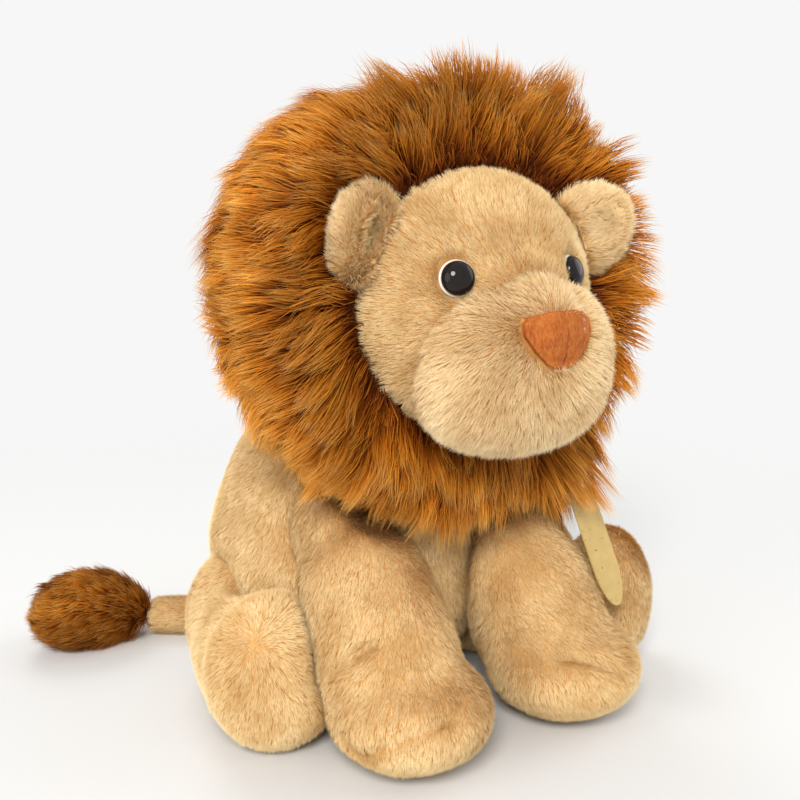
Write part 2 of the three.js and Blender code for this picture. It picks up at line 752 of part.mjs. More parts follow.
// Swing tag: a long card with a round lower end, hung on a barb
const tagHole = vector(tagHoleOut, -tagHoleReach, tagHoleHeight);
function tagMatrix() {
  const matrix = new THREE.Matrix4().makeRotationZ(radians(tagTurn));
  matrix.multiply(new THREE.Matrix4().makeRotationX(radians(90 - tagPitch)));
  matrix.multiply(new THREE.Matrix4().makeRotationZ(radians(tagTilt)));
  return matrix.setPosition(tagHole);
}
const tagHalf = tagWidth / 2;
const tagShape = new THREE.Shape();
tagShape.moveTo(-tagHalf, tagHoleInset);
tagShape.lineTo(-tagHalf, tagHoleInset - tagLength + tagWidth);
tagShape.absellipse(0, tagHoleInset - tagLength + tagWidth, tagHalf, tagWidth, Math.PI, 2 * Math.PI);
tagShape.lineTo(tagHalf, tagHoleInset);
tagShape.closePath();
tagShape.holes.push(new THREE.Path().absarc(0, 0, tagHoleWidth / 2, 0, 2 * Math.PI));
const tagFine = { depth: tagThickness, bevelEnabled: false, curveSegments: smallAround };
const tagBlank = new THREE.ExtrudeGeometry(tagShape, tagFine);
const swingTag = moved(solidOf(tagBlank), tagMatrix());
const barbHeadLow = tagThickness + seamGap;
const barb = (grow) =>
  moved(
    joined(
      plug(barbStemWidth / 2 + grow, -barbStemLength - grow, barbHeadLow + grow),
      plug(barbHeadWidth / 2 + grow, barbHeadLow - grow, barbHeadLow + barbHeadThickness + grow),
    ),
    tagMatrix(),
  );

// Assembly: one group at each pivot, with its meshes placed about that pivot
const lion = new THREE.Group();

function bodyGroup(pivot, pieces) {
  const group = new THREE.Group();
  group.position.copy(pivot);
  for (const [name, solid, finish] of pieces) {
    const geometry = geometryOf(solid).translate(-pivot.x, -pivot.y, -pivot.z);
    const mesh = new THREE.Mesh(geometry, new THREE.MeshStandardMaterial({ metalness: 0, ...finish }));
    mesh.name = name;
    group.add(mesh);
  }
  lion.add(group);
  return group;
}

bodyGroup(vector(0, 0, 0), [
  ["torso_cover", torsoCover, shortPile],
  ["seat_panel", seatPanel(0), shortPile],
  ["torso_stuffing", torsoStuffing, fibre],
  ["pellet_bag", pelletBag(0).intersect(torsoInside), nylon],
]);

const headPieces = [
  ["head_stuffing", headStuffing, fibre],
  ["face_cover", faceCover, shortPile],
  ["muzzle_cover", muzzleCover, palePile],
  ["muzzle_stuffing", muzzleStuffing, fibre],
  ["nose_patch", nosePatch, suede],
  ["mane_back", maneWhole.intersect(backSeam(1)), longPile],
];
for (const [name, turn] of Object.entries(ringTurns)) headPieces.push([name, ringQuarter(turn), longPile]);
for (const side of sides) {
  const matrix = eyeMatrix(side);
  headPieces.push(["eye_" + side.name, moved(eyeDome, matrix), blackGloss]);
  headPieces.push(["eye_rim_" + side.name, moved(eyeRim, matrix), whiteGloss]);
  headPieces.push(["eye_washer_" + side.name, moved(eyeWasher, matrix), nylon]);
}
bodyGroup(neckCentre, headPieces);

const wallInside = -coverThickness;
const fillOutside = -coverThickness - seamGap;
for (const side of sides) {
  bodyGroup(vector(side.sign * earRoot.x, earRoot.y, earRoot.z), [
    ["ear_back_" + side.name, ofSide(side, earBack), shortPile],
    ["ear_lining_" + side.name, ofSide(side, earLining), palePile],
  ]);
  const barbRoom = side.name === "left" ? [barb(seamGap)] : [];
  const frontOpening = openingAt(shoulderOf(side), side);
  bodyGroup(shoulderOf(side), [
    [
      "front_leg_cover_" + side.name,
      cutBy(frontLegSolid(side, 0), frontLegSolid(side, wallInside), frontOpening, ...barbRoom),
      shortPile,
    ],
    ["front_leg_stuffing_" + side.name, cutBy(frontLegSolid(side, fillOutside), ...barbRoom), fibre],
  ]);
  const hindOpening = openingAt(hipOf(side), side);
  bodyGroup(hipOf(side), [
    [
      "hind_leg_cover_" + side.name,
      cutBy(hindLegSolid(side, 0), hindLegSolid(side, wallInside), hindOpening),
      shortPile,
    ],
    ["hind_leg_stuffing_" + side.name, hindLegSolid(side, fillOutside), fibre],
  ]);
}

bodyGroup(tailRoot, [
  ["tail_cover", cutBy(tailSolid(0), tailSolid(wallInside), tailOpening), shortPile],
  ["tail_stuffing", tailSolid(fillOutside), fibre],
  ["tail_tuft", tailTuft, longPile],
]);
bodyGroup(tagHole, [["swing_tag", swingTag, card]]);
bodyGroup(tagHole, [["tag_barb", barb(0), nylon]]);

export default lion;
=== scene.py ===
"""A sitting plush lion with a long-pile mane, built over its CAD frame."""

import json
import math

import bmesh
import bpy
import numpy as np
from mathutils import Matrix, Vector, noise
from mathutils.bvhtree import BVHTree
from mathutils.kdtree import KDTree


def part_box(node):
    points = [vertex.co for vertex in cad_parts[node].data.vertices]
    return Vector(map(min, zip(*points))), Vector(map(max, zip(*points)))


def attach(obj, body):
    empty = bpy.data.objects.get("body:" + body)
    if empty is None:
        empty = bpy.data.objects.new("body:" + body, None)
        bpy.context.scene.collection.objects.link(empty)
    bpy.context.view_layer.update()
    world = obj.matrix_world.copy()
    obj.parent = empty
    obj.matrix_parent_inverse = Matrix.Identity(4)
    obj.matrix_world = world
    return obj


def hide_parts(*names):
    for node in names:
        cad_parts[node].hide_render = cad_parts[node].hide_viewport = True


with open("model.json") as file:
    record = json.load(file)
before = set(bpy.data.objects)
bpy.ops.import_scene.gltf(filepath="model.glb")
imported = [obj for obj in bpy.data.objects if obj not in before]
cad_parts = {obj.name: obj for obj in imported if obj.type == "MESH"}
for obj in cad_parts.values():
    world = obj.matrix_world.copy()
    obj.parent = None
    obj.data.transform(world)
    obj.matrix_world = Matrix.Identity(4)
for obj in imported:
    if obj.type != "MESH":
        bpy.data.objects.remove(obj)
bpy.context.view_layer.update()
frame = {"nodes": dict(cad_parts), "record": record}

bl_info = {
    "name": "Plush lion",
    "version": (1, 0, 0),
    "blender": (4, 5, 0),
    "location": "View3D > Sidebar > Plush lion",
    "description": "Adds a sitting plush lion: stuffed skins, pile, mane, face and studio",
    "category": "Add Mesh",
}

MM = 0.001

# Sizes and places. A length without MM in it is in millimetres.

SIDES = ("right", "left")
HEAD_CENTRE = np.array((0.0, -53.0, 190.0)) * MM
HEAD_HALVES = np.array((72.0, 62.0, 63.0)) * MM
NOSE = (0.0, -132.0, 181.0)
TAIL_ROOT = (0.0, 76.0, 9.5)
COVER_WALL = 3.2  # how thick the skin of a stuffed cover is

FACE_SEAM_Y = -84.6 * MM
BRIDGE_HEIGHT = 188 * MM  # where the muzzle starts to run softly into the forehead
EYE_REACH = 8 * MM
EYE_RIM_REACH = 7.6 * MM

MANE_PANELS = ("mane_back", "mane_crown", "mane_left", "mane_bib", "mane_right")
BACK_SEAM_Y = -36 * MM
MANE_BACK_SHARE = 0.52  # how dense the pile is behind that seam
MANE_ROOM = {"all round": 8.0, "top": 12.0, "side": -1.5, "shoulder": -7.5}

# The strands of the mane that hang over the swing tag's top: their middle, their pull, and how
# many more and how much longer they are, as shares
FRINGE = np.array((54.0, -78.0, 120.0)) * MM
FRINGE_PULL = np.array((0.5, -0.8, -1.9))
FRINGE_EXTRA = 3
FRINGE_LONGER = 0.8

# The nose's seam and its suede
NOSE_SEAM_HALF = 0.8
NOSE_SEAM_TOP = 183.0
NOSE_STITCH_RATE = 2400.0  # radians for each metre
NAP_SHIFT = (1.31, 1.68, 1.68)  # how much paler the suede is where it is worn

# The lines that are pressed into each paw, along which the pile is also painted darker as shade
CREASES = {
    "front_leg_right": [
        [(-72, -85, 21), (-69, -95, 16), (-67, -108, 24), (-57, -117, 31), (-42, -120, 34)],
        [(-69, -74, 44), (-66, -84, 53), (-59, -91, 60)],
    ],
    "front_leg_left": [[(44, -126, 33), (35, -119, 37), (26, -110, 38)]],
}

# part: the trim that lies on its pile, and how near to that trim no strand is rooted
COVERED_BY = {
    "muzzle": ("nose_patch", 0.65),
    "ear_back_right": ("ear_lining_right", 0.8),
    "ear_back_left": ("ear_lining_left", 0.8),
}

# Blender seeds its noise vectors, which the pile's lie strays by, from the clock if left to it
NOISE_SEED = 1

# The strands' UV map holds their tint across, with this half width, and root to tip along
STRAND_MAP = "OFBake"
TINT_WIDTH = 0.003

SURFACES = {}  # part: the outer surface of its skin, once that is built


# Node trees


class Value:
    """One socket of a node tree, which takes part in sums."""

    def __init__(self, tree, socket):
        self.tree = tree
        self.socket = socket

    def _maths(self, operation, *operands):
        return self.tree.add("ShaderNodeMath", {"operation": operation}, *operands)

    def sine(self):
        return self._maths("SINE", self)

    def __add__(self, other):
        return self._maths("ADD", self, other)

    __radd__ = __add__

    def __mul__(self, other):
        return self._maths("MULTIPLY", self, other)

    __rmul__ = __mul__

    def __sub__(self, other):
        return self._maths("SUBTRACT", self, other)

    def __rsub__(self, other):
        return self._maths("SUBTRACT", other, self)

    def smooth(self, low, high):
        """0 below low and 1 above high, with a soft step between."""
        return self.tree.add(
            "ShaderNodeMapRange",
            {"interpolation_type": "SMOOTHSTEP"},
            Value=self,
            From_Min=low,
            From_Max=high,
        )


class Tree:
    """A material or world and the nodes that make it."""

    def __init__(self, owner):
        owner.use_nodes = True
        self.nodes = owner.node_tree.nodes
        self.links = owner.node_tree.links
        self.nodes.clear()

    def make(self, kind, settings=None, *operands, **inputs):
        """A node of this kind: its settings first, then its socket values by place and by name."""
        node = self.nodes.new(kind)
        for name, value in (settings or {}).items():
            setattr(node, name, value)
        for index, value in enumerate(operands):
            self.feed(node.inputs[index], value)
        for name, value in inputs.items():
            self.feed(node.inputs[name.replace("_", " ")], value)
        return node

    def add(self, kind, settings=None, *operands, output=0, **inputs):
        node = self.make(kind, settings, *operands, **inputs)
        return Value(self, node.outputs[output])

    def feed(self, socket, value):
        if isinstance(value, Value):
            self.links.new(value.socket, socket)
        elif socket.type == "RGBA":
            socket.default_value = (*value[:3], 1.0)
        else:
            socket.default_value = value

    def mix(self, share, first, second, blend="MIX"):
        node = self.nodes.new("ShaderNodeMix")
        node.data_type = "RGBA"
        node.blend_type = blend
        self.feed(node.inputs["Factor"], share)
        self.feed(node.inputs[6], first)
        self.feed(node.inputs[7], second)
        return Value(self, node.outputs[2])

    def noise(self, place, scale, detail=2.0, roughness=0.5):
        return self.add(
            "ShaderNodeTexNoise",
            None,
            Vector=place,
            Scale=scale,
            Detail=detail,
            Roughness=roughness,
        )

    def ramp(self, share, stops):
        node = self.nodes.new("ShaderNodeValToRGB")
        elements = node.color_ramp.elements
        while len(elements) < len(stops):
            elements.new(0.5)
        for element, (place, colour) in zip(elements, stops):
            element.position = place
            element.color = (*colour, 1.0)
        self.feed(node.inputs[0], share)
        return Value(self, node.outputs[0])

    def bump(self, height, strength, distance):
        return self.add(
            "ShaderNodeBump", None, Height=height, Strength=strength, Distance=distance
        )

    def blend(self, share, first, second):
        """A mix of two shader nodes."""
        node = self.make("ShaderNodeMixShader", None, Fac=share)
        self.links.new(first.outputs[0], node.inputs[1])
        self.links.new(second.outputs[0], node.inputs[2])
        return node

    def shown(self, shader, kind="Material"):
        """Shows this shader node as the whole material, or as the world."""
        output = self.nodes.new("ShaderNodeOutput" + kind)
        self.links.new(shader.outputs[0], output.inputs["Surface"])

    def surface(self, **inputs):
        self.shown(self.make("ShaderNodeBsdfPrincipled", None, **inputs))

    def parts(self, place):
        """The three numbers of a vector."""
        apart = self.make("ShaderNodeSeparateXYZ", None, Vector=place)
        return [Value(self, socket) for socket in apart.outputs]


def linear(red, green, blue):
    """A colour given as 0 to 255 on screen, as the linear values that sockets take."""

    def one(value):
        share = value / 255
        return share / 12.92 if share <= 0.04045 else ((share + 0.055) / 1.055) ** 2.4

    return one(red), one(green), one(blue)


def object_place(tree):
    return tree.add("ShaderNodeTexCoord", None, output=3)


def recoloured(stops, chosen):
    """A root-to-tip ramp, shifted so that its middle stop has the chosen colour."""
    middle = stops[len(stops) // 2][1]
    shift = [new / old for new, old in zip(chosen, middle)]
    return [(place, [part * by for part, by in zip(colour, shift)]) for place, colour in stops]


def strand_finish(tree, choice, stops, cool, warm):
    """Pile strands: the colour runs from root to tip, its dark root partly painted shade deep in
    the pile, and each strand has its own tint.
    """
    stops = recoloured(stops, getattr(bpy.context.scene.lion_colours, choice))
    tint, along, _ = tree.parts(tree.add("ShaderNodeUVMap", {"uv_map": STRAND_MAP}))
    colour = tree.ramp(along, stops)
    shade = tree.mix(tint, cool, warm)
    tree.surface(
        Base_Color=tree.mix(1.0, colour, shade, "MULTIPLY"),
        Roughness=0.65,
        Specular_IOR_Level=0.1,
    )


def backing_finish(tree, dark, pale):
    """Knitted backing between the roots of the pile."""
    place = object_place(tree)
    patches = tree.noise(place, 90.0, 3.0)
    knit = tree.noise(place, 1400.0, 1.0)
    tree.surface(
        Base_Color=tree.mix(patches.smooth(0.35, 0.65), dark, pale),
        Roughness=0.85 + 0.1 * patches,
        Specular_IOR_Level=0.2,
        Normal=tree.bump(knit, 0.4, 0.0005),
    )


def fibre_finish(tree):
    """Loose white filling fibre."""
    place = object_place(tree)
    tufts = tree.noise(place, 160.0, 4.0, 0.65)
    tree.surface(
        Base_Color=tree.mix(tufts, linear(214, 212, 205), linear(248, 247, 243)),
        Roughness=0.9 - 0.1 * tufts,
        Normal=tree.bump(tufts, 0.8, 0.002),
    )


def bag_finish(tree):
    """Plain woven cloth of the pellet bag, lumped by the pellets inside."""
    place = object_place(tree)
    lumps = tree.add(
        "ShaderNodeTexVoronoi", {"feature": "SMOOTH_F1"}, Vector=place, Scale=260.0
    )
    weave = tree.add("ShaderNodeTexWave", None, Vector=place, Scale=420.0, Distortion=0.6)
    tree.surface(
        Base_Color=tree.mix(weave, linear(205, 200, 190), linear(232, 229, 221)),
        Roughness=0.8 + 0.1 * weave,
        Normal=tree.bump(lumps - 0.1 * weave, 0.7, 0.002),
    )


def suede_finish(tree):
    """Brushed suede of the nose, with painted sheen where its fine nap noise is high."""
    place = object_place(tree)
    stretched = tree.add(
        "ShaderNodeVectorMath", {"operation": "MULTIPLY"}, place, (1.0, 1.0, 0.4)
    )
    nap = tree.noise(stretched, 1100.0, 4.0, 0.75)
    rubbed = tree.noise(place, 120.0, 3.0)
    colour = bpy.context.scene.lion_colours.nose
    worn = [part * by for part, by in zip(colour, NAP_SHIFT)]
    base = tree.mix(rubbed.smooth(0.3, 0.7), colour, worn)
    aside, _, up = tree.parts(place)
    seam = 1.0 - (aside * aside).smooth(0.0, (NOSE_SEAM_HALF * MM) ** 2)
    stitch = (up * NOSE_STITCH_RATE).sine().smooth(-0.4, 0.4)
    below = 1.0 - up.smooth((NOSE_SEAM_TOP - 3) * MM, (NOSE_SEAM_TOP - 1) * MM)
    seam = seam * below * (0.45 + 0.55 * stitch)
    base = tree.mix(seam, base, linear(108, 44, 20))
    # Painted sheen: the fine nap noise lightens the suede towards a pale highlight colour.
    tree.surface(
        Base_Color=tree.mix(0.7 * nap.smooth(0.35, 0.8), base, linear(212, 138, 80)),
        Roughness=0.75 + 0.15 * nap,
        Specular_IOR_Level=0.12,
        Normal=tree.bump(nap, 0.5, 0.0004),
    )


def gloss_finish(tree, dark, pale, roughness, coat):
    """Moulded plastic with faint handling wear."""
    place = object_place(tree)
    wear = tree.noise(place, 300.0, 3.0)
    scuff = tree.noise(place, 1500.0, 2.0)
    tree.surface(
        Base_Color=tree.mix(wear, dark, pale),
        Roughness=roughness + 0.06 * wear,
        Specular_IOR_Level=0.2,
        Coat_Weight=coat,
        Coat_Roughness=0.04,
        Normal=tree.bump(scuff, 0.03, 0.0001),
    )


def card_finish(tree):
    """Speckled kraft card of the swing tag."""
    place = object_place(tree)
    speckle = tree.noise(place, 520.0, 2.0, 0.6)
    fibres = tree.noise(place, 160.0, 4.0)
    base = tree.mix(fibres, linear(182, 152, 88), linear(206, 180, 116))
    tree.surface(
        Base_Color=tree.mix(speckle.smooth(0.66, 0.7), base, linear(112, 82, 48)),
        Roughness=0.5 + 0.2 * fibres,
        Specular_IOR_Level=0.4,
        Normal=tree.bump(fibres, 0.3, 0.0003),
    )


def floor_finish(tree):
    """A pale paper floor that fades into the backdrop away from the lion."""
    place = object_place(tree)
    grain = tree.noise(place, 6.0, 2.0)
    far = tree.add("ShaderNodeVectorMath", {"operation": "LENGTH"}, place, output=1)
    paper = tree.make(
        "ShaderNodeBsdfPrincipled",
        None,
        Base_Color=tree.mix(grain, (0.78, 0.8, 0.82), (0.79, 0.81, 0.83)),
        Roughness=0.85 + 0.1 * grain,
        Specular_IOR_Level=0.1,
    )
    clear = tree.make("ShaderNodeBsdfTransparent")
    tree.shown(tree.blend(far.smooth(0.3, 0.75), paper, clear))


# Root-to-tip colours. The dark roots are partly the fur's own colour and partly painted shade deep
# in the pile between the locks.
SHORT_STOPS = [
    (0.0, linear(184, 124, 62)),
    (0.45, linear(238, 210, 154)),
    (1.0, linear(253, 238, 198)),
]
PALE_STOPS = [
    (0.0, linear(194, 138, 76)),
    (0.45, linear(241, 214, 162)),
    (1.0, linear(254, 241, 208)),
]
# The ears' pile is painted paler than the short pile, most of all at the root, as painted light
# that offsets the shade in the ears' bowls.
EAR_STOPS = [
    (0.0, linear(226, 184, 128)),
    (0.45, linear(243, 218, 168)),
    (1.0, linear(254, 243, 212)),
]
LONG_STOPS = [
    (0.0, linear(46, 18, 3)),
    (0.28, linear(122, 58, 9)),
    (0.58, linear(200, 122, 30)),
    (0.82, linear(226, 160, 64)),
    (1.0, linear(248, 212, 142)),
]

# The look of each kind of pile. Lengths are in millimetres and densities in strands for each
# square millimetre.
SHORT = {
    "finish": "short_pile",
    "length": 4.1,
    "needs": 0.8,  # the room above the skin without which nothing grows
    "density": 4.7,
    "wander": 0.35,  # how far the lie strays, in patches of the next size
    "patch": 24.0,
    "tone": 17.0,  # the size of pale and dark patches
    "rise": 0.5,  # how steeply a strand leaves the skin
    "curl": 0.0,  # how much of that rise is gone at its tip
    "spread": 0.18,
    "fall": 0.0,  # how much its weight pulls its tip down
    "sunk": 0.2,
    "points": 2,
    "locks": [(40, 0.25)],  # strands in a lock, and how far it draws their tips together
    "bend": 0.02,
    "taper": (1.0, 0.0),  # the width at each point, as a share of the next value
    "width": 0.3,
    "tint": 0.12,  # how much the strands' tints differ
    "paleness": 0.6,
    "roll": 0.6,
    "fringe": False,  # whether some strands hang longer over the swing tag
}
PALE = {**SHORT, "finish": "pale_pile", "length": 6.0, "needs": 0.2, "rise": 0.55}
EAR = {
    **SHORT,
    "finish": "ear_pile",
    "density": 10.0,
    "length": 5.5,
    "needs": 0.3,
    "rise": 0.7,
    "spread": 0.25,
    # paler tints, as painted light that offsets the shade in the ears' bowls
    "paleness": 0.95,
}
LONG = {
    **SHORT,
    "finish": "long_pile",
    "length": 27.5,
    "needs": 0.6,
    "density": 1.3,
    "wander": 0.7,
    "tone": 14.0,
    "rise": 0.55,
    "curl": 0.8,
    "spread": 0.15,
    "fall": 0.25,
    "sunk": 0.5,
    "points": 4,
    "locks": [(150, 0.25), (24, 0.5)],
    "bend": 0.08,
    "taper": (0.9, 1.0, 0.7, 0.0),
    "width": 0.36,
    "tint": 0.22,
    "roll": 0.8,
    "fringe": True,
}
TUFT = {
    **LONG,
    "length": 13.0,
    "density": 2.5,
    "rise": 0.4,
    "fall": 0.1,
    "locks": [(26, 0.45)],
    "bend": 0.06,
    "paleness": 0.25,
    "fringe": False,
}
FINISHES = {
    "short_pile": (strand_finish, "short_pile", SHORT_STOPS, (0.8, 0.66, 0.5), (1.03, 1.01, 0.98)),
    "pale_pile": (strand_finish, "pale_pile", PALE_STOPS, (0.82, 0.7, 0.56), (1.03, 1.01, 0.98)),
    "long_pile": (strand_finish, "mane", LONG_STOPS, (0.56, 0.45, 0.36), (1.12, 1.08, 1.0)),
    # the ears' tints are raised, as painted light that offsets the shade in their bowls
    "ear_pile": (strand_finish, "ears", EAR_STOPS, (0.9, 0.8, 0.66), (1.06, 1.02, 0.95)),
    "pale_backing": (backing_finish, linear(214, 170, 112), linear(234, 198, 144)),
    "tan_backing": (backing_finish, linear(186, 132, 72), linear(210, 162, 100)),
    # The mane's and tuft's dark backing matches the dark roots: partly the fur's own colour, partly
    # painted shade deep in the pile.
    "brown_backing": (backing_finish, linear(48, 20, 6), linear(96, 44, 12)),
    "fibre_fill": (fibre_finish,),
    "bag_cloth": (bag_finish,),
    "nose_suede": (suede_finish,),
    "eye_black": (gloss_finish, (0.006, 0.005, 0.004), (0.012, 0.009, 0.008), 0.04, 0.1),
    "eye_white": (gloss_finish, (0.74, 0.71, 0.66), (0.82, 0.8, 0.76), 0.28, 0.4),
    "nylon": (gloss_finish, (0.72, 0.7, 0.66), (0.8, 0.78, 0.74), 0.35, 0.1),
    "tag_card": (card_finish,),
    "floor": (floor_finish,),
}


def finish(name):
    """The material of this finish, built once."""
    title = "lion_" + name
    made = bpy.data.materials.get(title)
    if not made:
        made = bpy.data.materials.new(title)
        build, *values = FINISHES[name]
        build(Tree(made), *values)
    return made


# Meshes


def linked(name, mesh):
    made = bpy.data.objects.new(name, mesh)
    bpy.context.scene.collection.objects.link(made)
    return made


def modifier(obj, kind, **settings):
    made = obj.modifiers.new(kind.title(), kind)
    for name, value in settings.items():
        setattr(made, name, value)
    return made


def baked(obj):
    """Replaces obj's mesh by the one that its modifiers make."""
    graph = bpy.context.evaluated_depsgraph_get()
    mesh = bpy.data.meshes.new_from_object(obj.evaluated_get(graph))
    obj.modifiers.clear()
    obj.data = mesh
    mesh.name = obj.name
    return obj


def joined_copy(name, nodes):
    """An object from copies of these CAD nodes, their loose triangles merged."""
    whole = bmesh.new()
    for node in nodes:
        whole.from_mesh(frame["nodes"][node].data)
    bmesh.ops.remove_doubles(whole, verts=whole.verts, dist=0.01 * MM)
    return linked(name, mesh_of(name, whole))


def mesh_of(name, shape):
    mesh = bpy.data.meshes.new(name)
    shape.to_mesh(mesh)
    shape.free()
    return mesh


def read_corners(mesh, what):
    flat = np.empty(len(mesh.vertices) * 3, np.float32)
    mesh.vertices.foreach_get(what, flat)
    return flat.reshape(-1, 3).astype(float)


def set_corners(mesh, places):
    mesh.vertices.foreach_set("co", np.asarray(places, np.float32).ravel())
    mesh.update()


def unit(vectors):
    length = np.linalg.norm(vectors, axis=-1, keepdims=True)
    return vectors / np.maximum(length, 1e-9)


def falloff(distance, reach):
    """1 at no distance, fading softly to nothing past about twice the reach."""
    return np.exp(-((distance / reach) ** 2))


def declared(obj, body, slot, *nodes):
    """Ties obj to its body and hides the CAD nodes that it stands for. The slot is not used."""
    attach(obj, body)
    if nodes:
        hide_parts(*nodes)
    return obj


def body_of(node):
    bodies = frame["record"]["behaviour"]["bodies"]
    return next(body for body, nodes in bodies.items() if node in nodes)


# Stuffed skins


def plumped(obj, pressure, steps=20, inward=0.4 * MM, outward=1.2 * MM):
    """Fills obj like a stuffed cover: a short pressed cloth run, with its movement capped."""
    before = read_corners(obj.data, "co")
    normals = read_corners(obj.data, "normal")
    cloth = modifier(obj, "CLOTH")
    cloth.settings.use_pressure = True
    cloth.settings.uniform_pressure_force = pressure
    cloth.settings.effector_weights.gravity = 0.0
    cloth.point_cache.frame_start = 1
    cloth.point_cache.frame_end = steps
    scene = bpy.context.scene
    for step in range(1, steps + 1):
        scene.frame_set(step)
    graph = bpy.context.evaluated_depsgraph_get()
    moved = read_corners(obj.evaluated_get(graph).to_mesh(), "co") - before
    scene.frame_set(1)
    obj.modifiers.clear()
    along = np.sum(moved * normals, axis=1, keepdims=True)
    aside = moved - along * normals
    reach = np.linalg.norm(aside, axis=1, keepdims=True)
    aside *= np.minimum(1.0, inward / np.maximum(reach, 1e-9))
    set_corners(obj.data, before + np.clip(along, -inward, outward) * normals + aside)


def creased(obj, lines, depth, half):
    """Presses a soft groove along each line of points."""
    places = read_corners(obj.data, "co")
    normals = read_corners(obj.data, "normal")
    press = depth * MM * falloff(nearness(places, lines), half * MM)
    set_corners(obj.data, places - normals * press[:, None])


def nearness(places, lines, farthest=1.0):
    """The distance from each place to the nearest of these lines through points in mm."""
    near = np.full(len(places), farthest)
    for line in lines:
        points = np.array(line) * MM
        for start, end in zip(points[:-1], points[1:]):
            run = end - start
            share = np.clip((places - start) @ run / (run @ run), 0, 1)[:, None]
            near = np.minimum(near, np.linalg.norm(places - start - run * share, axis=1))
    return near


def drawn_in(obj):
    """Moves the outward faces of the mane towards the head, to leave room for its long pile."""
    places = read_corners(obj.data, "co")
    out = unit(places - HEAD_CENTRE)
    facing = np.clip(np.sum(out * read_corners(obj.data, "normal"), axis=1), 0, 1)
    top, aside = np.clip(out[:, 2], 0, 1), np.abs(out[:, 0])
    shoulder = np.clip(0.56 * aside + 0.43 * out[:, 1] + 0.7 * top, 0, 1) ** 8
    room = MANE_ROOM["all round"] + MANE_ROOM["top"] * top**3
    room += MANE_ROOM["side"] * aside + MANE_ROOM["shoulder"] * shoulder
    set_corners(obj.data, places - out * (room * MM * facing)[:, None])


def tucked(obj, cover, under=1.2 * MM, outside=0.3):
    """Holds obj just inside the outermost face of cover, as seen from the head's middle."""
    centre = Vector(HEAD_CENTRE)
    places = read_corners(obj.data, "co")
    for index, place in enumerate(places):
        way = (Vector(place) - centre).normalized()
        outermost = cover.ray_cast(centre + way * outside, -way)[0]
        if outermost is not None:
            reach = min((Vector(place) - centre).length, (outermost - centre).length - under)
            places[index] = centre + way * reach
    set_corners(obj.data, places)


def eye_seat(side):
    """The place of an eye's rim and the way that the eye looks."""
    low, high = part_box("eye_rim_" + side)
    place = np.array((low + high) / 2)
    return place, unit((place - HEAD_CENTRE) / HEAD_HALVES**2)


def eye_sockets(obj, reach=9.5 * MM, slope=2.0 * MM, depth=1.0 * MM):
    """Presses the face in under each eye, so that the rim sits in a dimple."""
    places = read_corners(obj.data, "co")
    for side in SIDES:
        seat, look = eye_seat(side)
        height = (places - seat) @ look
        aside = np.linalg.norm(places - seat - height[:, None] * look, axis=1)
        share = np.clip((reach - aside) / slope, 0, 1)
        share[np.abs(height) > 12 * MM] = 0
        drop = np.maximum(0, height + depth) * share
        places -= drop[:, None] * look
    set_corners(obj.data, places)


def filleted(obj, node, height, reach):
    """Fills the valley of obj beside a CAD node, so that the pile runs softly over it."""
    neighbour = solid_tree(node)
    places = read_corners(obj.data, "co")
    near = np.array([neighbour.find_nearest(Vector(place))[3] for place in places])
    swell = height * falloff(near, reach)
    swell *= 0.25 + 0.75 * np.clip((places[:, 2] - BRIDGE_HEIGHT) / (14 * MM), 0, 1)
    for side in SIDES:
        away = np.linalg.norm(places - eye_seat(side)[0], axis=1)
        swell *= np.clip((away - EYE_REACH) / (6 * MM), 0, 1)
    set_corners(obj.data, places + read_corners(obj.data, "normal") * swell[:, None])


def halved(obj, plane_y):
    """Cuts away all of obj behind an upright plane."""
    shape = bmesh.new()
    shape.from_mesh(obj.data)
    bmesh.ops.bisect_plane(
        shape,
        geom=shape.verts[:] + shape.edges[:] + shape.faces[:],
        plane_co=(0, plane_y, 0),
        plane_no=(0, 1, 0),
        clear_outer=True,
    )
    shape.to_mesh(obj.data)
    shape.free()


class Surface:
    """The triangles, corners and corner normals of a skin."""

    def __init__(self, obj):
        mesh = obj.data
        mesh.calc_loop_triangles()
        flat = np.empty(len(mesh.loop_triangles) * 3, np.int32)
        mesh.loop_triangles.foreach_get("vertices", flat)
        self.triangles = flat.reshape(-1, 3)
        self.places = read_corners(mesh, "co")
        self.normals = read_corners(mesh, "normal")

    def carried(self, values, chosen, weights):
        """Corner values carried to points inside the triangles."""
        return np.einsum("ij,ij...->i...", weights, values[self.triangles[chosen]])

    def scattered(self, density, wanted, chance):
        """Evenly spread points: wanted for each square millimetre, times the corners' density."""
        corner = self.places[self.triangles]
        cross = np.cross(corner[:, 1] - corner[:, 0], corner[:, 2] - corner[:, 0])
        area = np.linalg.norm(cross, axis=1) / 2 / MM**2
        area = area * density[self.triangles].mean(axis=1)
        reach = np.cumsum(area)
        count = int(reach[-1] * wanted)
        picks = (np.arange(count) + chance.random(count)) * reach[-1] / max(count, 1)
        chosen = np.minimum(np.searchsorted(reach, picks), len(area) - 1)
        first, second = chance.random((2, count))
        over = first + second > 1
        first[over], second[over] = 1 - first[over], 1 - second[over]
        return chosen, np.stack((1 - first - second, first, second), axis=1)


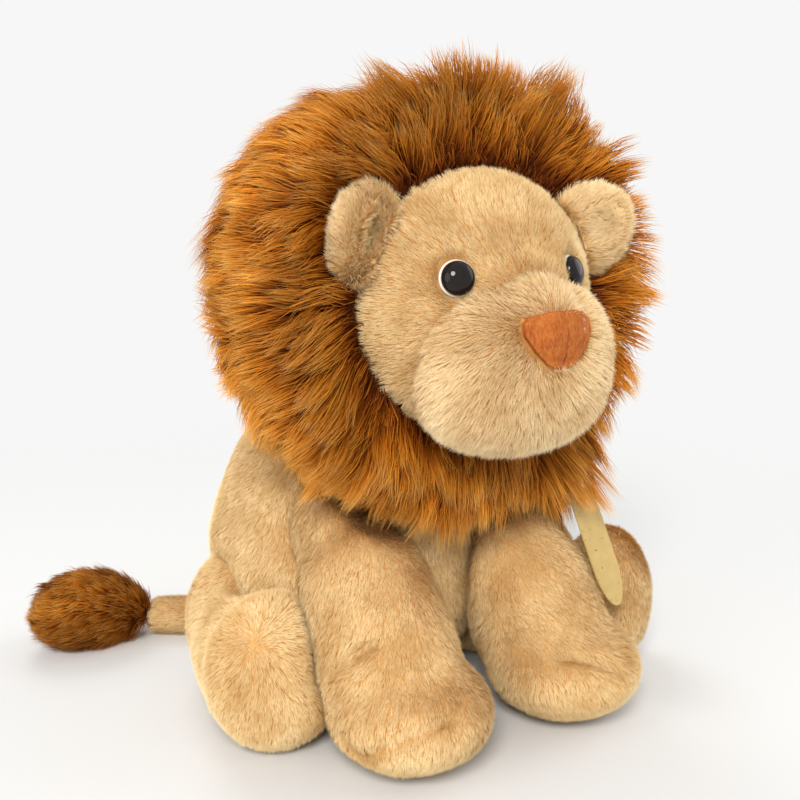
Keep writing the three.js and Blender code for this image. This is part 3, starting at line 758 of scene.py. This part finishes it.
def stuffed(part, cover, filling, voxel, backing, wall):
    """The skin of one stuffed piece, remembered with its outer surface for the pile."""
    settings = bpy.context.scene.lion_stuffing
    skin = joined_copy(part + "_skin", [cover, *filling])
    modifier(skin, "REMESH", mode="VOXEL", voxel_size=voxel * MM)
    modifier(skin, "SMOOTH", factor=0.5, iterations=4)
    baked(skin)
    if filling:
        plumped(skin, settings.pressure)
    modifier(skin, "SUBSURF", levels=1, render_levels=1)
    baked(skin)
    if part in CREASES:
        creased(skin, CREASES[part], settings.crease_depth, half=2.2)
    if part == "face":
        filleted(skin, "muzzle_cover", height=3.2 * MM, reach=7.0 * MM)
        eye_sockets(skin)
        halved(skin, FACE_SEAM_Y)
    SURFACES[part] = Surface(skin)
    if wall:
        modifier(skin, "SOLIDIFY", thickness=wall * MM, offset=-1.0)
        baked(skin)
    paint(skin, backing)
    skin.data.shade_smooth()
    slot = "long_pile" if backing == "brown_backing" else "short_pile"
    if cover in ("muzzle_cover", "ear_lining_right", "ear_lining_left"):
        slot = "pale_pile"
    declared(skin, body_of(cover), slot, cover)
    return skin


# Pile


def shape_tree(parts):
    """A search tree of all the faces of these parts' surfaces."""
    places, faces = [], []
    for part in parts:
        surface = SURFACES[part]
        faces += (surface.triangles + len(places)).tolist()
        places += surface.places.tolist()
    return BVHTree.FromPolygons(places, faces)


def solid_tree(node):
    """A search tree of a CAD node's faces."""
    mesh = frame["nodes"][node].data
    faces = [list(polygon.vertices) for polygon in mesh.polygons]
    return BVHTree.FromPolygons([corner.co for corner in mesh.vertices], faces)


def room_over(surface, neighbours, reach):
    """How far each corner sees along its normal, to a neighbour or the floor, up to reach."""
    room = np.full(len(surface.places), reach)
    for index, (place, normal) in enumerate(zip(surface.places, surface.normals)):
        start = Vector(place) + Vector(normal) * 0.2 * MM
        distance = neighbours.ray_cast(start, Vector(normal), reach)[3]
        if distance is not None:
            room[index] = distance
        if normal[2] < 0:
            room[index] = min(room[index], max(0.0, place[2] / -normal[2]))
    return room


def patchy(places, scale, seed):
    """Soft noise from -1 to 1 at each place, with features of this size in millimetres."""
    shift = Vector((seed * 7.31, seed * 3.17, seed * 5.73))
    return np.array([noise.noise(Vector(p) / (scale * MM) + shift) for p in places])


def swirled(places, scale, seed):
    shift = Vector((seed * 4.13, seed * 9.37, seed * 2.71))
    return np.array([noise.noise_vector(Vector(p) / (scale * MM) + shift) for p in places])


def flat_on(vectors, normals):
    """What of each vector lies along the surface."""
    return vectors - np.sum(vectors * normals, axis=1, keepdims=True) * normals


def combed(places, pulls):
    """The way the pile lies: steady pulls, and whorls that it turns away from nearby."""
    total = np.zeros_like(places)
    for strength, direction, centre, reach in pulls:
        share = 1.0
        way = np.array(direction, float)
        if centre is not None:
            out = places - np.array(centre) * MM
            distance = np.linalg.norm(out, axis=1, keepdims=True)
            share = falloff(distance, reach * MM)
            way = way + unit(out)
        total += strength * share * way
    return total


def gathered(roots, paths, crowd, pull, bend, chance):
    """Draws each strand's tip towards the middle strand of its lock of about crowd strands."""
    count = max(2, int(len(roots) / crowd))
    leads = chance.choice(len(roots), count, replace=False)
    tree = KDTree(count)
    for index, lead in enumerate(leads):
        tree.insert(roots[lead], index)
    tree.balance()
    lock = np.array([tree.find(root)[1] for root in roots])
    share = np.linspace(0, 1, paths.shape[1])[None, :, None] ** 1.5
    length = np.linalg.norm(paths[:, -1:] - paths[:, :1], axis=2, keepdims=True)
    aside = chance.normal(0, bend, (count, 1, 3))[lock] * length
    return paths + ((paths[leads[lock]] - paths) * pull + aside) * share


def ribbons(name, paths, normals, widths, tints, roll, chance):
    """One mesh of tapering strands, each a narrow strip that ends in a point."""
    count, points = paths.shape[:2]
    along = unit(np.diff(paths, axis=1, append=paths[:, -1:] * 2 - paths[:, -2:-1]))
    out = unit(flat_on(normals, along[:, 0]))
    angle = chance.uniform(-roll, roll, (count, 1))
    side = unit(np.cross(along[:, 0], out) * np.cos(angle) + out * np.sin(angle))
    half = side[:, None] * widths[:, :-1, None] / 2
    pairs = np.stack((paths[:, :-1] - half, paths[:, :-1] + half), axis=2)
    each = 2 * (points - 1) + 1
    corners = np.concatenate((pairs.reshape(count, each - 1, 3), paths[:, -1:]), axis=1)
    quads = [(2 * k, 2 * k + 1, 2 * k + 3, 2 * k + 2) for k in range(points - 2)]
    loops = [i for quad in quads for i in quad] + [each - 3, each - 2, each - 1]
    totals = np.tile([4] * len(quads) + [3], count)
    order = (np.arange(count)[:, None] * each + np.array(loops)).ravel()
    mesh = bpy.data.meshes.new(name)
    mesh.vertices.add(count * each)
    mesh.vertices.foreach_set("co", corners.astype(np.float32).ravel())
    mesh.loops.add(len(order))
    mesh.loops.foreach_set("vertex_index", order.astype(np.int32))
    mesh.polygons.add(len(totals))
    starts = np.concatenate(([0], np.cumsum(totals)[:-1]))
    mesh.polygons.foreach_set("loop_start", starts.astype(np.int32))
    rows = np.linspace(0, 1, points)[[i // 2 for i in range(each)]]
    columns = np.array([(i % 2) * 2.0 - 1.0 for i in range(each - 1)] + [0.0])
    u = np.clip(tints, 0.01, 0.99)[:, None] + columns * TINT_WIDTH
    v = np.broadcast_to(rows * 0.98 + 0.01, u.shape)
    strand_map = mesh.uv_layers.new(name=STRAND_MAP)
    spread = np.stack((u, v), axis=2)[:, loops].astype(np.float32)
    strand_map.data.foreach_set("uv", spread.ravel())
    mesh.polygons.foreach_set("use_smooth", np.ones(len(totals), bool))
    mesh.update()
    mesh.validate()
    lean = unit(np.cross(side[:, None], along))
    shown = unit(out[:, None] + lean * 0.5)
    shown = np.concatenate((np.repeat(shown[:, :-1], 2, axis=1), shown[:, -1:]), axis=1)
    mesh.normals_split_custom_set_from_vertices(shown.reshape(-1, 3).astype(np.float32))
    return mesh


def strand_paths(look, roots, normals, lay, space, chance):
    """Each strand's points: up off the skin, over along the lie and then down under its weight."""
    count = len(roots)
    points = look["points"]
    step = look["length"] * MM / (points - 1) * chance.uniform(0.7, 1.1, count)
    near = np.zeros(count)
    if look["fringe"]:
        near = falloff(np.linalg.norm(roots - FRINGE, axis=1), 18 * MM)
        step *= 1 + FRINGE_LONGER * near
        lay = lay + FRINGE_PULL * near[:, None]
    rise = look["rise"] * chance.uniform(0.6, 1.4, count)
    spread = chance.normal(0, look["spread"], (count, 3))
    fall = np.array((0.0, 0.0, -look["fall"]))
    paths = np.empty((count, points, 3))
    paths[:, 0] = roots - normals * look["sunk"] * MM
    for k in range(1, points):
        share = (k - 1) / max(1, points - 2)
        lift = normals * (rise * (1 - look["curl"] * share))[:, None]
        heading = unit(lift + lay + spread + fall * share)
        paths[:, k] = paths[:, k - 1] + heading * step[:, None]
    for crowd, pull in look["locks"]:
        paths = gathered(roots, paths, crowd, pull, look["bend"], chance)
    height = np.einsum("nkc,nc->nk", paths - roots[:, None], normals)
    over = np.maximum(0, height - 0.9 * space[:, None] - 0.2 * MM)
    over[space >= 0.99 * look["length"] * MM] = 0
    over *= (1 - near)[:, None]
    paths -= over[:, :, None] * normals[:, None]
    paths[:, :, 2] = np.maximum(paths[:, :, 2], 0.15 * MM)
    return paths


def pile_density(part, surface, room, needs):
    """The share of the look's density that each corner of the part's skin has."""
    density = np.clip(room / MM - needs, 0, 1)
    if part == "mane":
        density = density * np.where(surface.places[:, 1] > BACK_SEAM_Y, MANE_BACK_SHARE, 1.0)
        away = np.linalg.norm(surface.places - FRINGE, axis=1)
        density = density * (1 + FRINGE_EXTRA * falloff(away, 16 * MM))
    if part == "face":
        for side in SIDES:
            away = np.linalg.norm(surface.places - eye_seat(side)[0], axis=1)
            density[away < EYE_RIM_REACH] = 0
    return density


def pile_lie(part, surface, look, pulls, seed):
    """The way that the pile lies at each corner, along the skin, with some wander."""
    lay = mane_lie(surface.places) if part == "mane" else combed(surface.places, pulls)
    lay = unit(flat_on(lay, surface.normals))
    lay = lay + look["wander"] * swirled(surface.places, look["patch"], seed)
    return unit(flat_on(lay, surface.normals))


def pile_tone_and_crease_shade(part, surface, size, seed):
    """How pale the pile is at each corner: patches of two sizes, and painted shade along the
    creases.
    """
    tone = patchy(surface.places, size, seed + 50)
    tone = tone + 0.5 * patchy(surface.places, size / 3, seed + 90)
    if part in CREASES:
        # Painted shade: the pile darkens along the pressed creases.
        tone = tone - 0.9 * falloff(nearness(surface.places, CREASES[part]), 2.5 * MM)
    return tone


def grown(part, body, look, pulls, share, seed):
    """The pile of one part, as strands rooted all over its skin."""
    chance = np.random.default_rng(seed)
    surface = SURFACES[part]
    in_ear = part.startswith("ear_")
    others = [other for other in SURFACES if other != part]
    others = [other for other in others if not (in_ear and other.startswith("ear_"))]
    solids = shape_tree(others)
    room = room_over(surface, solids, look["length"] * MM)
    density = pile_density(part, surface, room, look["needs"])
    lay = pile_lie(part, surface, look, pulls, seed)
    tone = pile_tone_and_crease_shade(part, surface, look["tone"], seed)
    chosen, weights = surface.scattered(density, look["density"] * share, chance)
    if part in COVERED_BY:
        node, margin = COVERED_BY[part]
        roots = surface.carried(surface.places, chosen, weights)
        trim = solid_tree(node)
        near = np.array([trim.find_nearest(Vector(root))[3] for root in roots])
        clear = near > margin * MM
        chosen, weights, near = chosen[clear], weights[clear], near[clear, None]
    roots = surface.carried(surface.places, chosen, weights)
    normals = unit(surface.carried(surface.normals, chosen, weights))
    lay = unit(surface.carried(lay, chosen, weights))
    if part == "muzzle":
        lay *= 1 - 0.5 * falloff(near, 2.5 * MM)
    tone = surface.carried(tone, chosen, weights)
    space = surface.carried(room, chosen, weights)
    paths = strand_paths(look, roots, normals, lay, space, chance)
    count = len(roots)
    widths = look["width"] * MM * np.array(look["taper"]) * chance.uniform(0.8, 1.2, (count, 1))
    # the tints carry the pale and dark patches and the painted crease shade
    tints = np.clip(look["paleness"] + 0.8 * tone + chance.normal(0, look["tint"], count), 0, 1)
    names, sort = SHARED.get(part, ([part], lambda roots: np.zeros(len(roots), int)))
    owner = sort(roots)
    for index, name in enumerate(names):
        own = owner == index
        strands = paths[own], normals[own], widths[own], tints[own]
        mesh = ribbons(name + "_pile", *strands, look["roll"], chance)
        mesh.materials.append(finish(look["finish"]))
        slot = "short_pile" if look["finish"] == "ear_pile" else look["finish"]
        declared(linked(name + "_pile", mesh), body, slot)


# part: cover, filling, voxel, backing, wall, body, look, pulls. A pull is its strength, its
# direction, the middle of the whorl that it turns away from, or None, and the whorl's reach.
SKINS = {
    "torso": (
        "torso_cover", ["torso_stuffing"], 6.0, "tan_backing", COVER_WALL, "torso", SHORT,
        [(1.0, (0.0, 0.25, -1.0), None, 0)],
    ),
    "seat_panel": ("seat_panel", [], 3.5, "tan_backing", 0, "torso", None, None),
    "face": (
        "face_cover", ["head_stuffing"], 3.5, "tan_backing", COVER_WALL, "head", SHORT,
        [(1.0, (0.0, 0.0, 0.0), NOSE, 200.0), (0.5, (0.0, 0.0, 1.0), (0, -110, 215), 30.0)],
    ),
    "muzzle": (
        "muzzle_cover", ["muzzle_stuffing"], 3.0, "tan_backing", COVER_WALL, "head", PALE,
        [(1.0, (0.0, 0.0, -0.3), NOSE, 200.0), (0.4, (0.0, 0.0, 0.0), (-26, -124, 183), 12.0)],
    ),
}
for leg, pulls in {
    "front_leg_right": [(1.0, (-0.3, -0.3, -1.0), None, 0), (0.8, (0, 0, 0), (-48, -88, 44), 26.0)],
    "front_leg_left": [(1.0, (0.2, -0.4, -1.0), None, 0), (0.8, (0, 0, 0), (20, -84, 40), 26.0)],
    "hind_leg_right": [(0.8, (0.0, 0.4, -1.0), None, 0), (1.6, (0, 0, 0), (-91, -52, 53), 40.0)],
    "hind_leg_left": [(0.8, (0.0, 0.4, -1.0), None, 0), (1.6, (0, 0, 0), (126, -54, 50), 40.0)],
}.items():
    kind, side = leg.rsplit("_", 1)
    SKINS[leg] = (
        f"{kind}_cover_{side}", [f"{kind}_stuffing_{side}"], 4.0, "tan_backing", COVER_WALL,
        leg, SHORT, pulls,
    )
SKINS |= {
    "tail": (
        "tail_cover", ["tail_stuffing"], 2.0, "tan_backing", 2.6, "tail", SHORT,
        [(1.0, (0.0, 0.0, 0.0), TAIL_ROOT, 400.0), (0.4, (-1.0, 0.2, 0.0), None, 0)],
    ),
    "tail_tuft": (
        "tail_tuft", [], 4.0, "brown_backing", 0, "tail", TUFT,
        [(1.0, (0.0, 0.0, 0.05), (-46, 113, 10), 400.0)],
    ),
}
for side, way in (("right", -1.0), ("left", 1.0)):
    for part in ("ear_back", "ear_lining"):
        SKINS[f"{part}_{side}"] = (
            f"{part}_{side}", [], 1.3, "pale_backing", 0, "ear_" + side,
            EAR,
            [(1.0, (way * 0.7, 0.0, 0.6), None, 0)],
        )
for part in MANE_PANELS:
    SKINS[part] = (part, [], 6.0, "brown_backing", 0, "head", None, None)


def mane_lie(places):
    """Out from the face and back over the ruff, hanging where it is low and at the back."""
    out = places - HEAD_CENTRE
    behind = np.clip((places[:, 1:2] + 45 * MM) / (55 * MM), 0, 1)
    out[:, 1] = 0
    out = unit(out)
    low = np.clip(-out[:, 2:3], 0, 1)
    hang = np.array((0.0, 0.0, -1.0)) * np.maximum(0.8 * low, 1.5 * behind)
    top = np.clip(out[:, 2:3], 0, 1) ** 2
    backward = np.array((0.0, 1.0, 0.0)) * (0.35 + 0.65 * np.maximum(behind, top))
    return out * (1 - behind) + backward + hang


def mane_panel(roots):
    """The index of the mane panel that each root stands on; the back panel counts as two."""
    out = roots - HEAD_CENTRE
    quarter = np.round(np.arctan2(out[:, 0], out[:, 2]) / (math.pi / 2)).astype(int) % 4
    behind = roots[:, 1] > BACK_SEAM_Y
    return np.where(behind, 4 + (roots[:, 0] > 0), quarter)


def torso_side(roots):
    return (roots[:, 0] > 0).astype(int)


# The pieces that one surface's pile is cut into, with the function that sorts its strands
SHARED = {
    "mane": (
        ["mane_crown", "mane_left", "mane_bib", "mane_right", "mane_back_right", "mane_back_left"],
        mane_panel,
    ),
    "torso": (["torso_right", "torso_left"], torso_side),
}


# Trim


def lathed(name, profile, segments, place, look):
    """A solid of revolution about the way that an eye looks, from [radius, height] in mm."""
    shape = bmesh.new()
    points = [shape.verts.new((radius * MM, 0, height * MM)) for radius, height in profile]
    edges = [shape.edges.new(pair) for pair in zip(points[:-1], points[1:])]
    bmesh.ops.spin(
        shape,
        geom=[*points, *edges],
        cent=(0, 0, 0),
        axis=(0, 0, 1),
        angle=2 * math.pi,
        steps=segments,
        use_merge=True,
        use_duplicate=False,
    )
    bmesh.ops.remove_doubles(shape, verts=shape.verts, dist=0.005 * MM)
    bmesh.ops.recalc_face_normals(shape, faces=shape.faces)
    turn = Vector((0, 0, 1)).rotation_difference(Vector(look)).to_matrix().to_4x4()
    shape.transform(Matrix.Translation(Vector(place)) @ turn)
    made = linked(name, mesh_of(name, shape))
    made.data.shade_smooth()
    return made


def arc(half, low, high, steps, start=0.0):
    """Points over a dome, from its edge to its top."""
    angles = np.linspace(start, math.pi / 2, steps)
    return [(half * math.cos(a), low + (high - low) * math.sin(a)) for a in angles]


def paint(obj, name):
    obj.data.materials.clear()
    obj.data.materials.append(finish(name))


# Properties


class LionStuffing(bpy.types.PropertyGroup):
    """How firmly the skins are filled."""

    pressure: bpy.props.FloatProperty(
        name="Pressure", description="Air pressure that fills each skin", default=4.0
    )
    fill: bpy.props.FloatProperty(
        name="Fill",
        description="How full the stuffed pieces are",
        default=0.8,
        min=0.0,
        max=1.0,
        subtype="FACTOR",
    )
    crease_depth: bpy.props.FloatProperty(
        name="Crease depth", description="Depth of the paw creases in millimetres", default=3.0
    )


def colour_choice(title, colour):
    """A colour for the user to change, with this default."""
    return bpy.props.FloatVectorProperty(
        name=title,
        description=f"Colour of the lion's {title.lower()}",
        default=colour,
        min=0.0,
        max=1.0,
        subtype="COLOR",
    )


def length_choice(title, description, look, low, high):
    """The length of a kind of pile for the user to change."""
    return bpy.props.FloatProperty(
        name=title,
        description=description,
        default=look["length"] * MM,
        min=low,
        max=high,
        subtype="DISTANCE",
        unit="LENGTH",
    )


def share_choice(title, description):
    """A share of a kind of pile's full density for the user to change."""
    return bpy.props.FloatProperty(
        name=title,
        description=description,
        default=1.0,
        min=0.05,
        max=1.0,
        subtype="FACTOR",
    )


def angle_choice(title, description, degrees):
    """An angle for the user to change, with this default."""
    return bpy.props.FloatProperty(
        name=title,
        description=description,
        default=math.radians(degrees),
        subtype="ANGLE",
        unit="ROTATION",
    )


class LionColours(bpy.types.PropertyGroup):
    """The colours of the pile and the nose."""

    short_pile: colour_choice("Short pile", SHORT_STOPS[1][1])
    pale_pile: colour_choice("Muzzle", PALE_STOPS[1][1])
    # the ears' colour is painted paler, as light that offsets the shade in their bowls
    ears: colour_choice("Ears", EAR_STOPS[1][1])
    mane: colour_choice("Mane and tuft", LONG_STOPS[2][1])
    nose: colour_choice("Nose", linear(154, 74, 27))


class LionPile(bpy.types.PropertyGroup):
    """How long and thick the pile is."""

    short_length: length_choice(
        "Short pile length", "Length of the strands on the torso and legs", SHORT, 0.001, 0.02
    )
    long_length: length_choice(
        "Mane length", "Length of the strands on the mane", LONG, 0.005, 0.08
    )
    short_share: share_choice("Short pile share", "Share of the short pile's full density")
    long_share: share_choice("Long pile share", "Share of the long pile's full density")


class LionStudio(bpy.types.PropertyGroup):
    """Where the camera stands."""

    azimuth: angle_choice("Azimuth", "Turn of the camera round the lion", -38.0)
    elevation: angle_choice("Elevation", "Height of the camera as an angle", 10.0)
    distance: bpy.props.FloatProperty(
        name="Distance",
        description="Distance from the camera to its aim",
        default=0.55,
        subtype="DISTANCE",
        unit="LENGTH",
    )
    lens: bpy.props.FloatProperty(
        name="Lens", description="Focal length in millimetres", default=52.2
    )


# Operators


class LionOperator:
    """What all the operators share."""

    bl_options = {"REGISTER", "UNDO"}


class SkinOperator(LionOperator):
    """Builds the skins of some parts."""

    parts = ()

    def execute(self, context):
        for part in self.parts:
            cover, filling, voxel, backing, wall = SKINS[part][:5]
            stuffed(part, cover, filling, voxel, backing, wall)
        return {"FINISHED"}


class LION_OT_torso(SkinOperator, bpy.types.Operator):
    """Add the torso's skin and its seat panel"""

    bl_idname = "lion.torso"
    bl_label = "Torso"
    parts = ("torso", "seat_panel")


class LION_OT_face(SkinOperator, bpy.types.Operator):
    """Add the face and the muzzle"""

    bl_idname = "lion.face"
    bl_label = "Face"
    parts = ("face", "muzzle")


class LION_OT_ears(SkinOperator, bpy.types.Operator):
    """Add both ears and their linings"""

    bl_idname = "lion.ears"
    bl_label = "Ears"
    parts = ("ear_back_right", "ear_lining_right", "ear_back_left", "ear_lining_left")


class LION_OT_mane(SkinOperator, bpy.types.Operator):
    """Add the five panels of the mane"""

    bl_idname = "lion.mane"
    bl_label = "Mane"
    parts = MANE_PANELS

    def execute(self, context):
        super().execute(context)
        whole = joined_copy("mane", MANE_PANELS)
        modifier(whole, "REMESH", mode="VOXEL", voxel_size=3.5 * MM)
        modifier(whole, "SMOOTH", factor=0.5, iterations=6)
        drawn_in(baked(whole))
        SURFACES["mane"] = Surface(whole)
        outside = shape_tree(["mane"])
        for panel in MANE_PANELS:
            tucked(bpy.data.objects[panel + "_skin"], outside)
            del SURFACES[panel]
        bpy.data.objects.remove(whole)
        return {"FINISHED"}


class LION_OT_legs(SkinOperator, bpy.types.Operator):
    """Add the four legs"""

    bl_idname = "lion.legs"
    bl_label = "Legs"
    parts = ("front_leg_right", "front_leg_left", "hind_leg_right", "hind_leg_left")


class LION_OT_tail(SkinOperator, bpy.types.Operator):
    """Add the tail and its tuft"""

    bl_idname = "lion.tail"
    bl_label = "Tail"
    parts = ("tail", "tail_tuft")


class LION_OT_pile(LionOperator, bpy.types.Operator):
    """Grow the pile on every skin"""

    bl_idname = "lion.pile"
    bl_label = "Pile"

    def execute(self, context):
        settings = context.scene.lion_pile
        noise.seed_set(NOISE_SEED)
        rows = [(part, *row[5:]) for part, row in SKINS.items() if row[6]]
        rows.append(("mane", "head", LONG, None))
        for seed, (part, body, look, pulls) in enumerate(rows):
            if look["finish"] == "long_pile":
                share, scale = settings.long_share, settings.long_length / LONG["length"] / MM
            else:
                share, scale = settings.short_share, settings.short_length / SHORT["length"] / MM
            grown(part, body, {**look, "length": look["length"] * scale}, pulls, share, seed)
        return {"FINISHED"}


class LION_OT_eyes(LionOperator, bpy.types.Operator):
    """Add the eyes, their rims and the washers behind the face"""

    bl_idname = "lion.eyes"
    bl_label = "Eyes"

    def execute(self, context):
        for side in SIDES:
            place, look = eye_seat(side)
            bead = [(0, -13), (1.7, -13), (2, -12.6), (2, 0.9), (6.2, 0.9), (6.55, 1.05)]
            bead += arc(6.7, 1.3, 5.5, 14)
            eye = lathed("eye_bead_" + side, bead, 48, place, look)
            paint(eye, "eye_black")
            declared(eye, "head", "eye_black", "eye_" + side)
            rim = [(2.3, -0.6), (7.1, -0.6), (7.3, -0.3), (7.3, 0.2), (7.1, 0.5), (6.7, 0.6)]
            ring = lathed("eye_ring_" + side, [*rim, (2.3, 0.6), (2.3, -0.6)], 48, place, look)
            paint(ring, "eye_white")
            declared(ring, "head", "eye_white", "eye_rim_" + side)
            paint(frame["nodes"]["eye_washer_" + side], "nylon")
        return {"FINISHED"}


class LION_OT_nose(LionOperator, bpy.types.Operator):
    """Add the suede nose and its centre seam"""

    bl_idname = "lion.nose"
    bl_label = "Nose"
    voxel, groove, puff, wrinkle, wrinkle_size = 0.45, 0.9, 0.4, 0.3, 3.2

    def execute(self, context):
        nose = joined_copy("nose", ["nose_patch"])
        modifier(nose, "REMESH", mode="VOXEL", voxel_size=self.voxel * MM)
        modifier(nose, "SMOOTH", factor=0.5, iterations=8)
        baked(nose)
        places = read_corners(nose.data, "co")
        normals = read_corners(nose.data, "normal")
        front = np.clip(-normals[:, 1] * 2, 0, 1)
        lower = np.clip((NOSE_SEAM_TOP * MM - places[:, 2]) / (3 * MM), 0, 1)
        seam = falloff(places[:, 0], NOSE_SEAM_HALF * MM)
        groove = self.groove * MM * seam * lower * front
        stretched = places * np.array((1.8, 1, 0.7))
        wrinkle = self.wrinkle * MM * patchy(stretched, self.wrinkle_size, 3) * front
        puff = self.puff * MM * front
        set_corners(nose.data, places + normals * (puff + wrinkle - groove)[:, None])
        paint(nose, "nose_suede")
        nose.data.shade_smooth()
        declared(nose, "head", "nose_suede", "nose_patch")
        return {"FINISHED"}


class LION_OT_tag(LionOperator, bpy.types.Operator):
    """Add the swing tag and the barb that holds it"""

    bl_idname = "lion.tag"
    bl_label = "Swing tag"

    def execute(self, context):
        for name, node, slot, width in (
            ("swing_tag_card", "swing_tag", "tag_card", 0.2),
            ("tag_barb_nylon", "tag_barb", "nylon", 0.3),
        ):
            made = joined_copy(name, [node])
            modifier(
                made, "BEVEL", width=width * MM, segments=3, limit_method="ANGLE",
                angle_limit=math.radians(50),
            )
            baked(made)
            paint(made, slot)
            declared(made, body_of(node), slot, node)
        return {"FINISHED"}


class LION_OT_filling(LionOperator, bpy.types.Operator):
    """Finish the fillings and the pellet bag inside the skins"""

    bl_idname = "lion.filling"
    bl_label = "Filling"

    def execute(self, context):
        for name, node in frame["nodes"].items():
            if "stuffing" in name:
                paint(node, "fibre_fill")
        paint(frame["nodes"]["pellet_bag"], "bag_cloth")
        return {"FINISHED"}


class LION_OT_studio(LionOperator, bpy.types.Operator):
    """Add the camera, the lamps, the floor and the backdrop"""

    bl_idname = "lion.studio"
    bl_label = "Studio"

    def execute(self, context):
        settings = context.scene.lion_studio
        aim = Vector((15, -12, 137)) * MM
        turn, rise = settings.azimuth, settings.elevation
        back = Vector(
            (math.sin(turn) * math.cos(rise), -math.cos(turn) * math.cos(rise), math.sin(rise))
        )
        camera = linked("camera", bpy.data.cameras.new("camera"))
        camera.data.lens = settings.lens
        camera.data.sensor_width = 36.0
        camera.data.clip_start = 0.01
        camera.data.clip_end = 50.0
        camera.location = aim + back * settings.distance
        camera.rotation_euler = (-back).to_track_quat("-Z", "Y").to_euler()
        context.scene.camera = camera
        shape = bmesh.new()
        bmesh.ops.create_grid(shape, x_segments=1, y_segments=1, size=3.0)
        floor = linked("floor", mesh_of("floor", shape))
        paint(floor, "floor")
        lamps = [self.lamp(aim, *row) for row in LAMPS]
        self.backdrop(context.scene)
        context.scene.view_settings.view_transform = "Standard"
        return {"FINISHED"}

    def lamp(self, aim, name, place, size, power, colour):
        light = bpy.data.lights.new(name, "AREA")
        light.shape = "DISK"
        light.size = size
        light.energy = power
        light.color = colour
        made = linked(name, light)
        made.location = place
        made.rotation_euler = (aim - made.location).to_track_quat("-Z", "Y").to_euler()
        return made

    def backdrop(self, scene):
        scene.world = scene.world or bpy.data.worlds.new("studio")
        tree = Tree(scene.world)
        path = tree.make("ShaderNodeLightPath")
        sky = tree.make("ShaderNodeBackground", None, Color=(0.9, 0.89, 0.87), Strength=0.6)
        plain = tree.make("ShaderNodeBackground", None, Color=(0.93, 0.93, 0.93), Strength=1.0)
        seen = Value(tree, path.outputs["Is Camera Ray"])
        for name in ("Is Glossy Ray", "Is Transmission Ray"):
            seen = seen + Value(tree, path.outputs[name])
        tree.shown(tree.blend(seen, sky, plain), "World")


LAMPS = [
    ("key", (-1.3, -1.4, 1.4), 0.8, 42.0, (1.0, 0.96, 0.9)),
    ("side", (-1.7, -0.3, 0.6), 1.4, 8.0, (1.0, 0.97, 0.92)),
    ("fill", (1.6, -0.6, 0.8), 1.6, 10.0, (1.0, 0.97, 0.93)),
    ("back", (0.3, 1.4, 1.6), 1.2, 10.0, (1.0, 0.97, 0.93)),
]


class LION_PT_panel(bpy.types.Panel):
    """The lion's pieces and their settings"""

    bl_idname = "LION_PT_panel"
    bl_label = "Plush lion"
    bl_space_type = "VIEW_3D"
    bl_region_type = "UI"
    bl_category = "Plush lion"

    def draw(self, context):
        for title in GROUPS:
            group = getattr(context.scene, title)
            box = self.layout.box()
            for name in group.__annotations__:
                box.prop(group, name)
        for operator in OPERATORS:
            self.layout.operator(operator.bl_idname)


OPERATORS = (
    LION_OT_torso,
    LION_OT_face,
    LION_OT_ears,
    LION_OT_mane,
    LION_OT_legs,
    LION_OT_tail,
    LION_OT_pile,
    LION_OT_eyes,
    LION_OT_nose,
    LION_OT_tag,
    LION_OT_filling,
    LION_OT_studio,
)
GROUPS = {
    "lion_stuffing": LionStuffing,
    "lion_colours": LionColours,
    "lion_pile": LionPile,
    "lion_studio": LionStudio,
}


def register():
    for group in GROUPS.values():
        bpy.utils.register_class(group)
    for name, group in GROUPS.items():
        setattr(bpy.types.Scene, name, bpy.props.PointerProperty(type=group))
    for made in (*OPERATORS, LION_PT_panel):
        bpy.utils.register_class(made)


def unregister():
    for made in (LION_PT_panel, *reversed(OPERATORS)):
        bpy.utils.unregister_class(made)
    for name in GROUPS:
        delattr(bpy.types.Scene, name)
    for group in GROUPS.values():
        bpy.utils.unregister_class(group)


def main():
    register()
    for operator in OPERATORS:
        package, name = operator.bl_idname.split(".")
        if getattr(getattr(bpy.ops, package), name)() != {"FINISHED"}:
            raise RuntimeError(operator.bl_label + " did not finish")


if __name__ == "__main__":
    main()
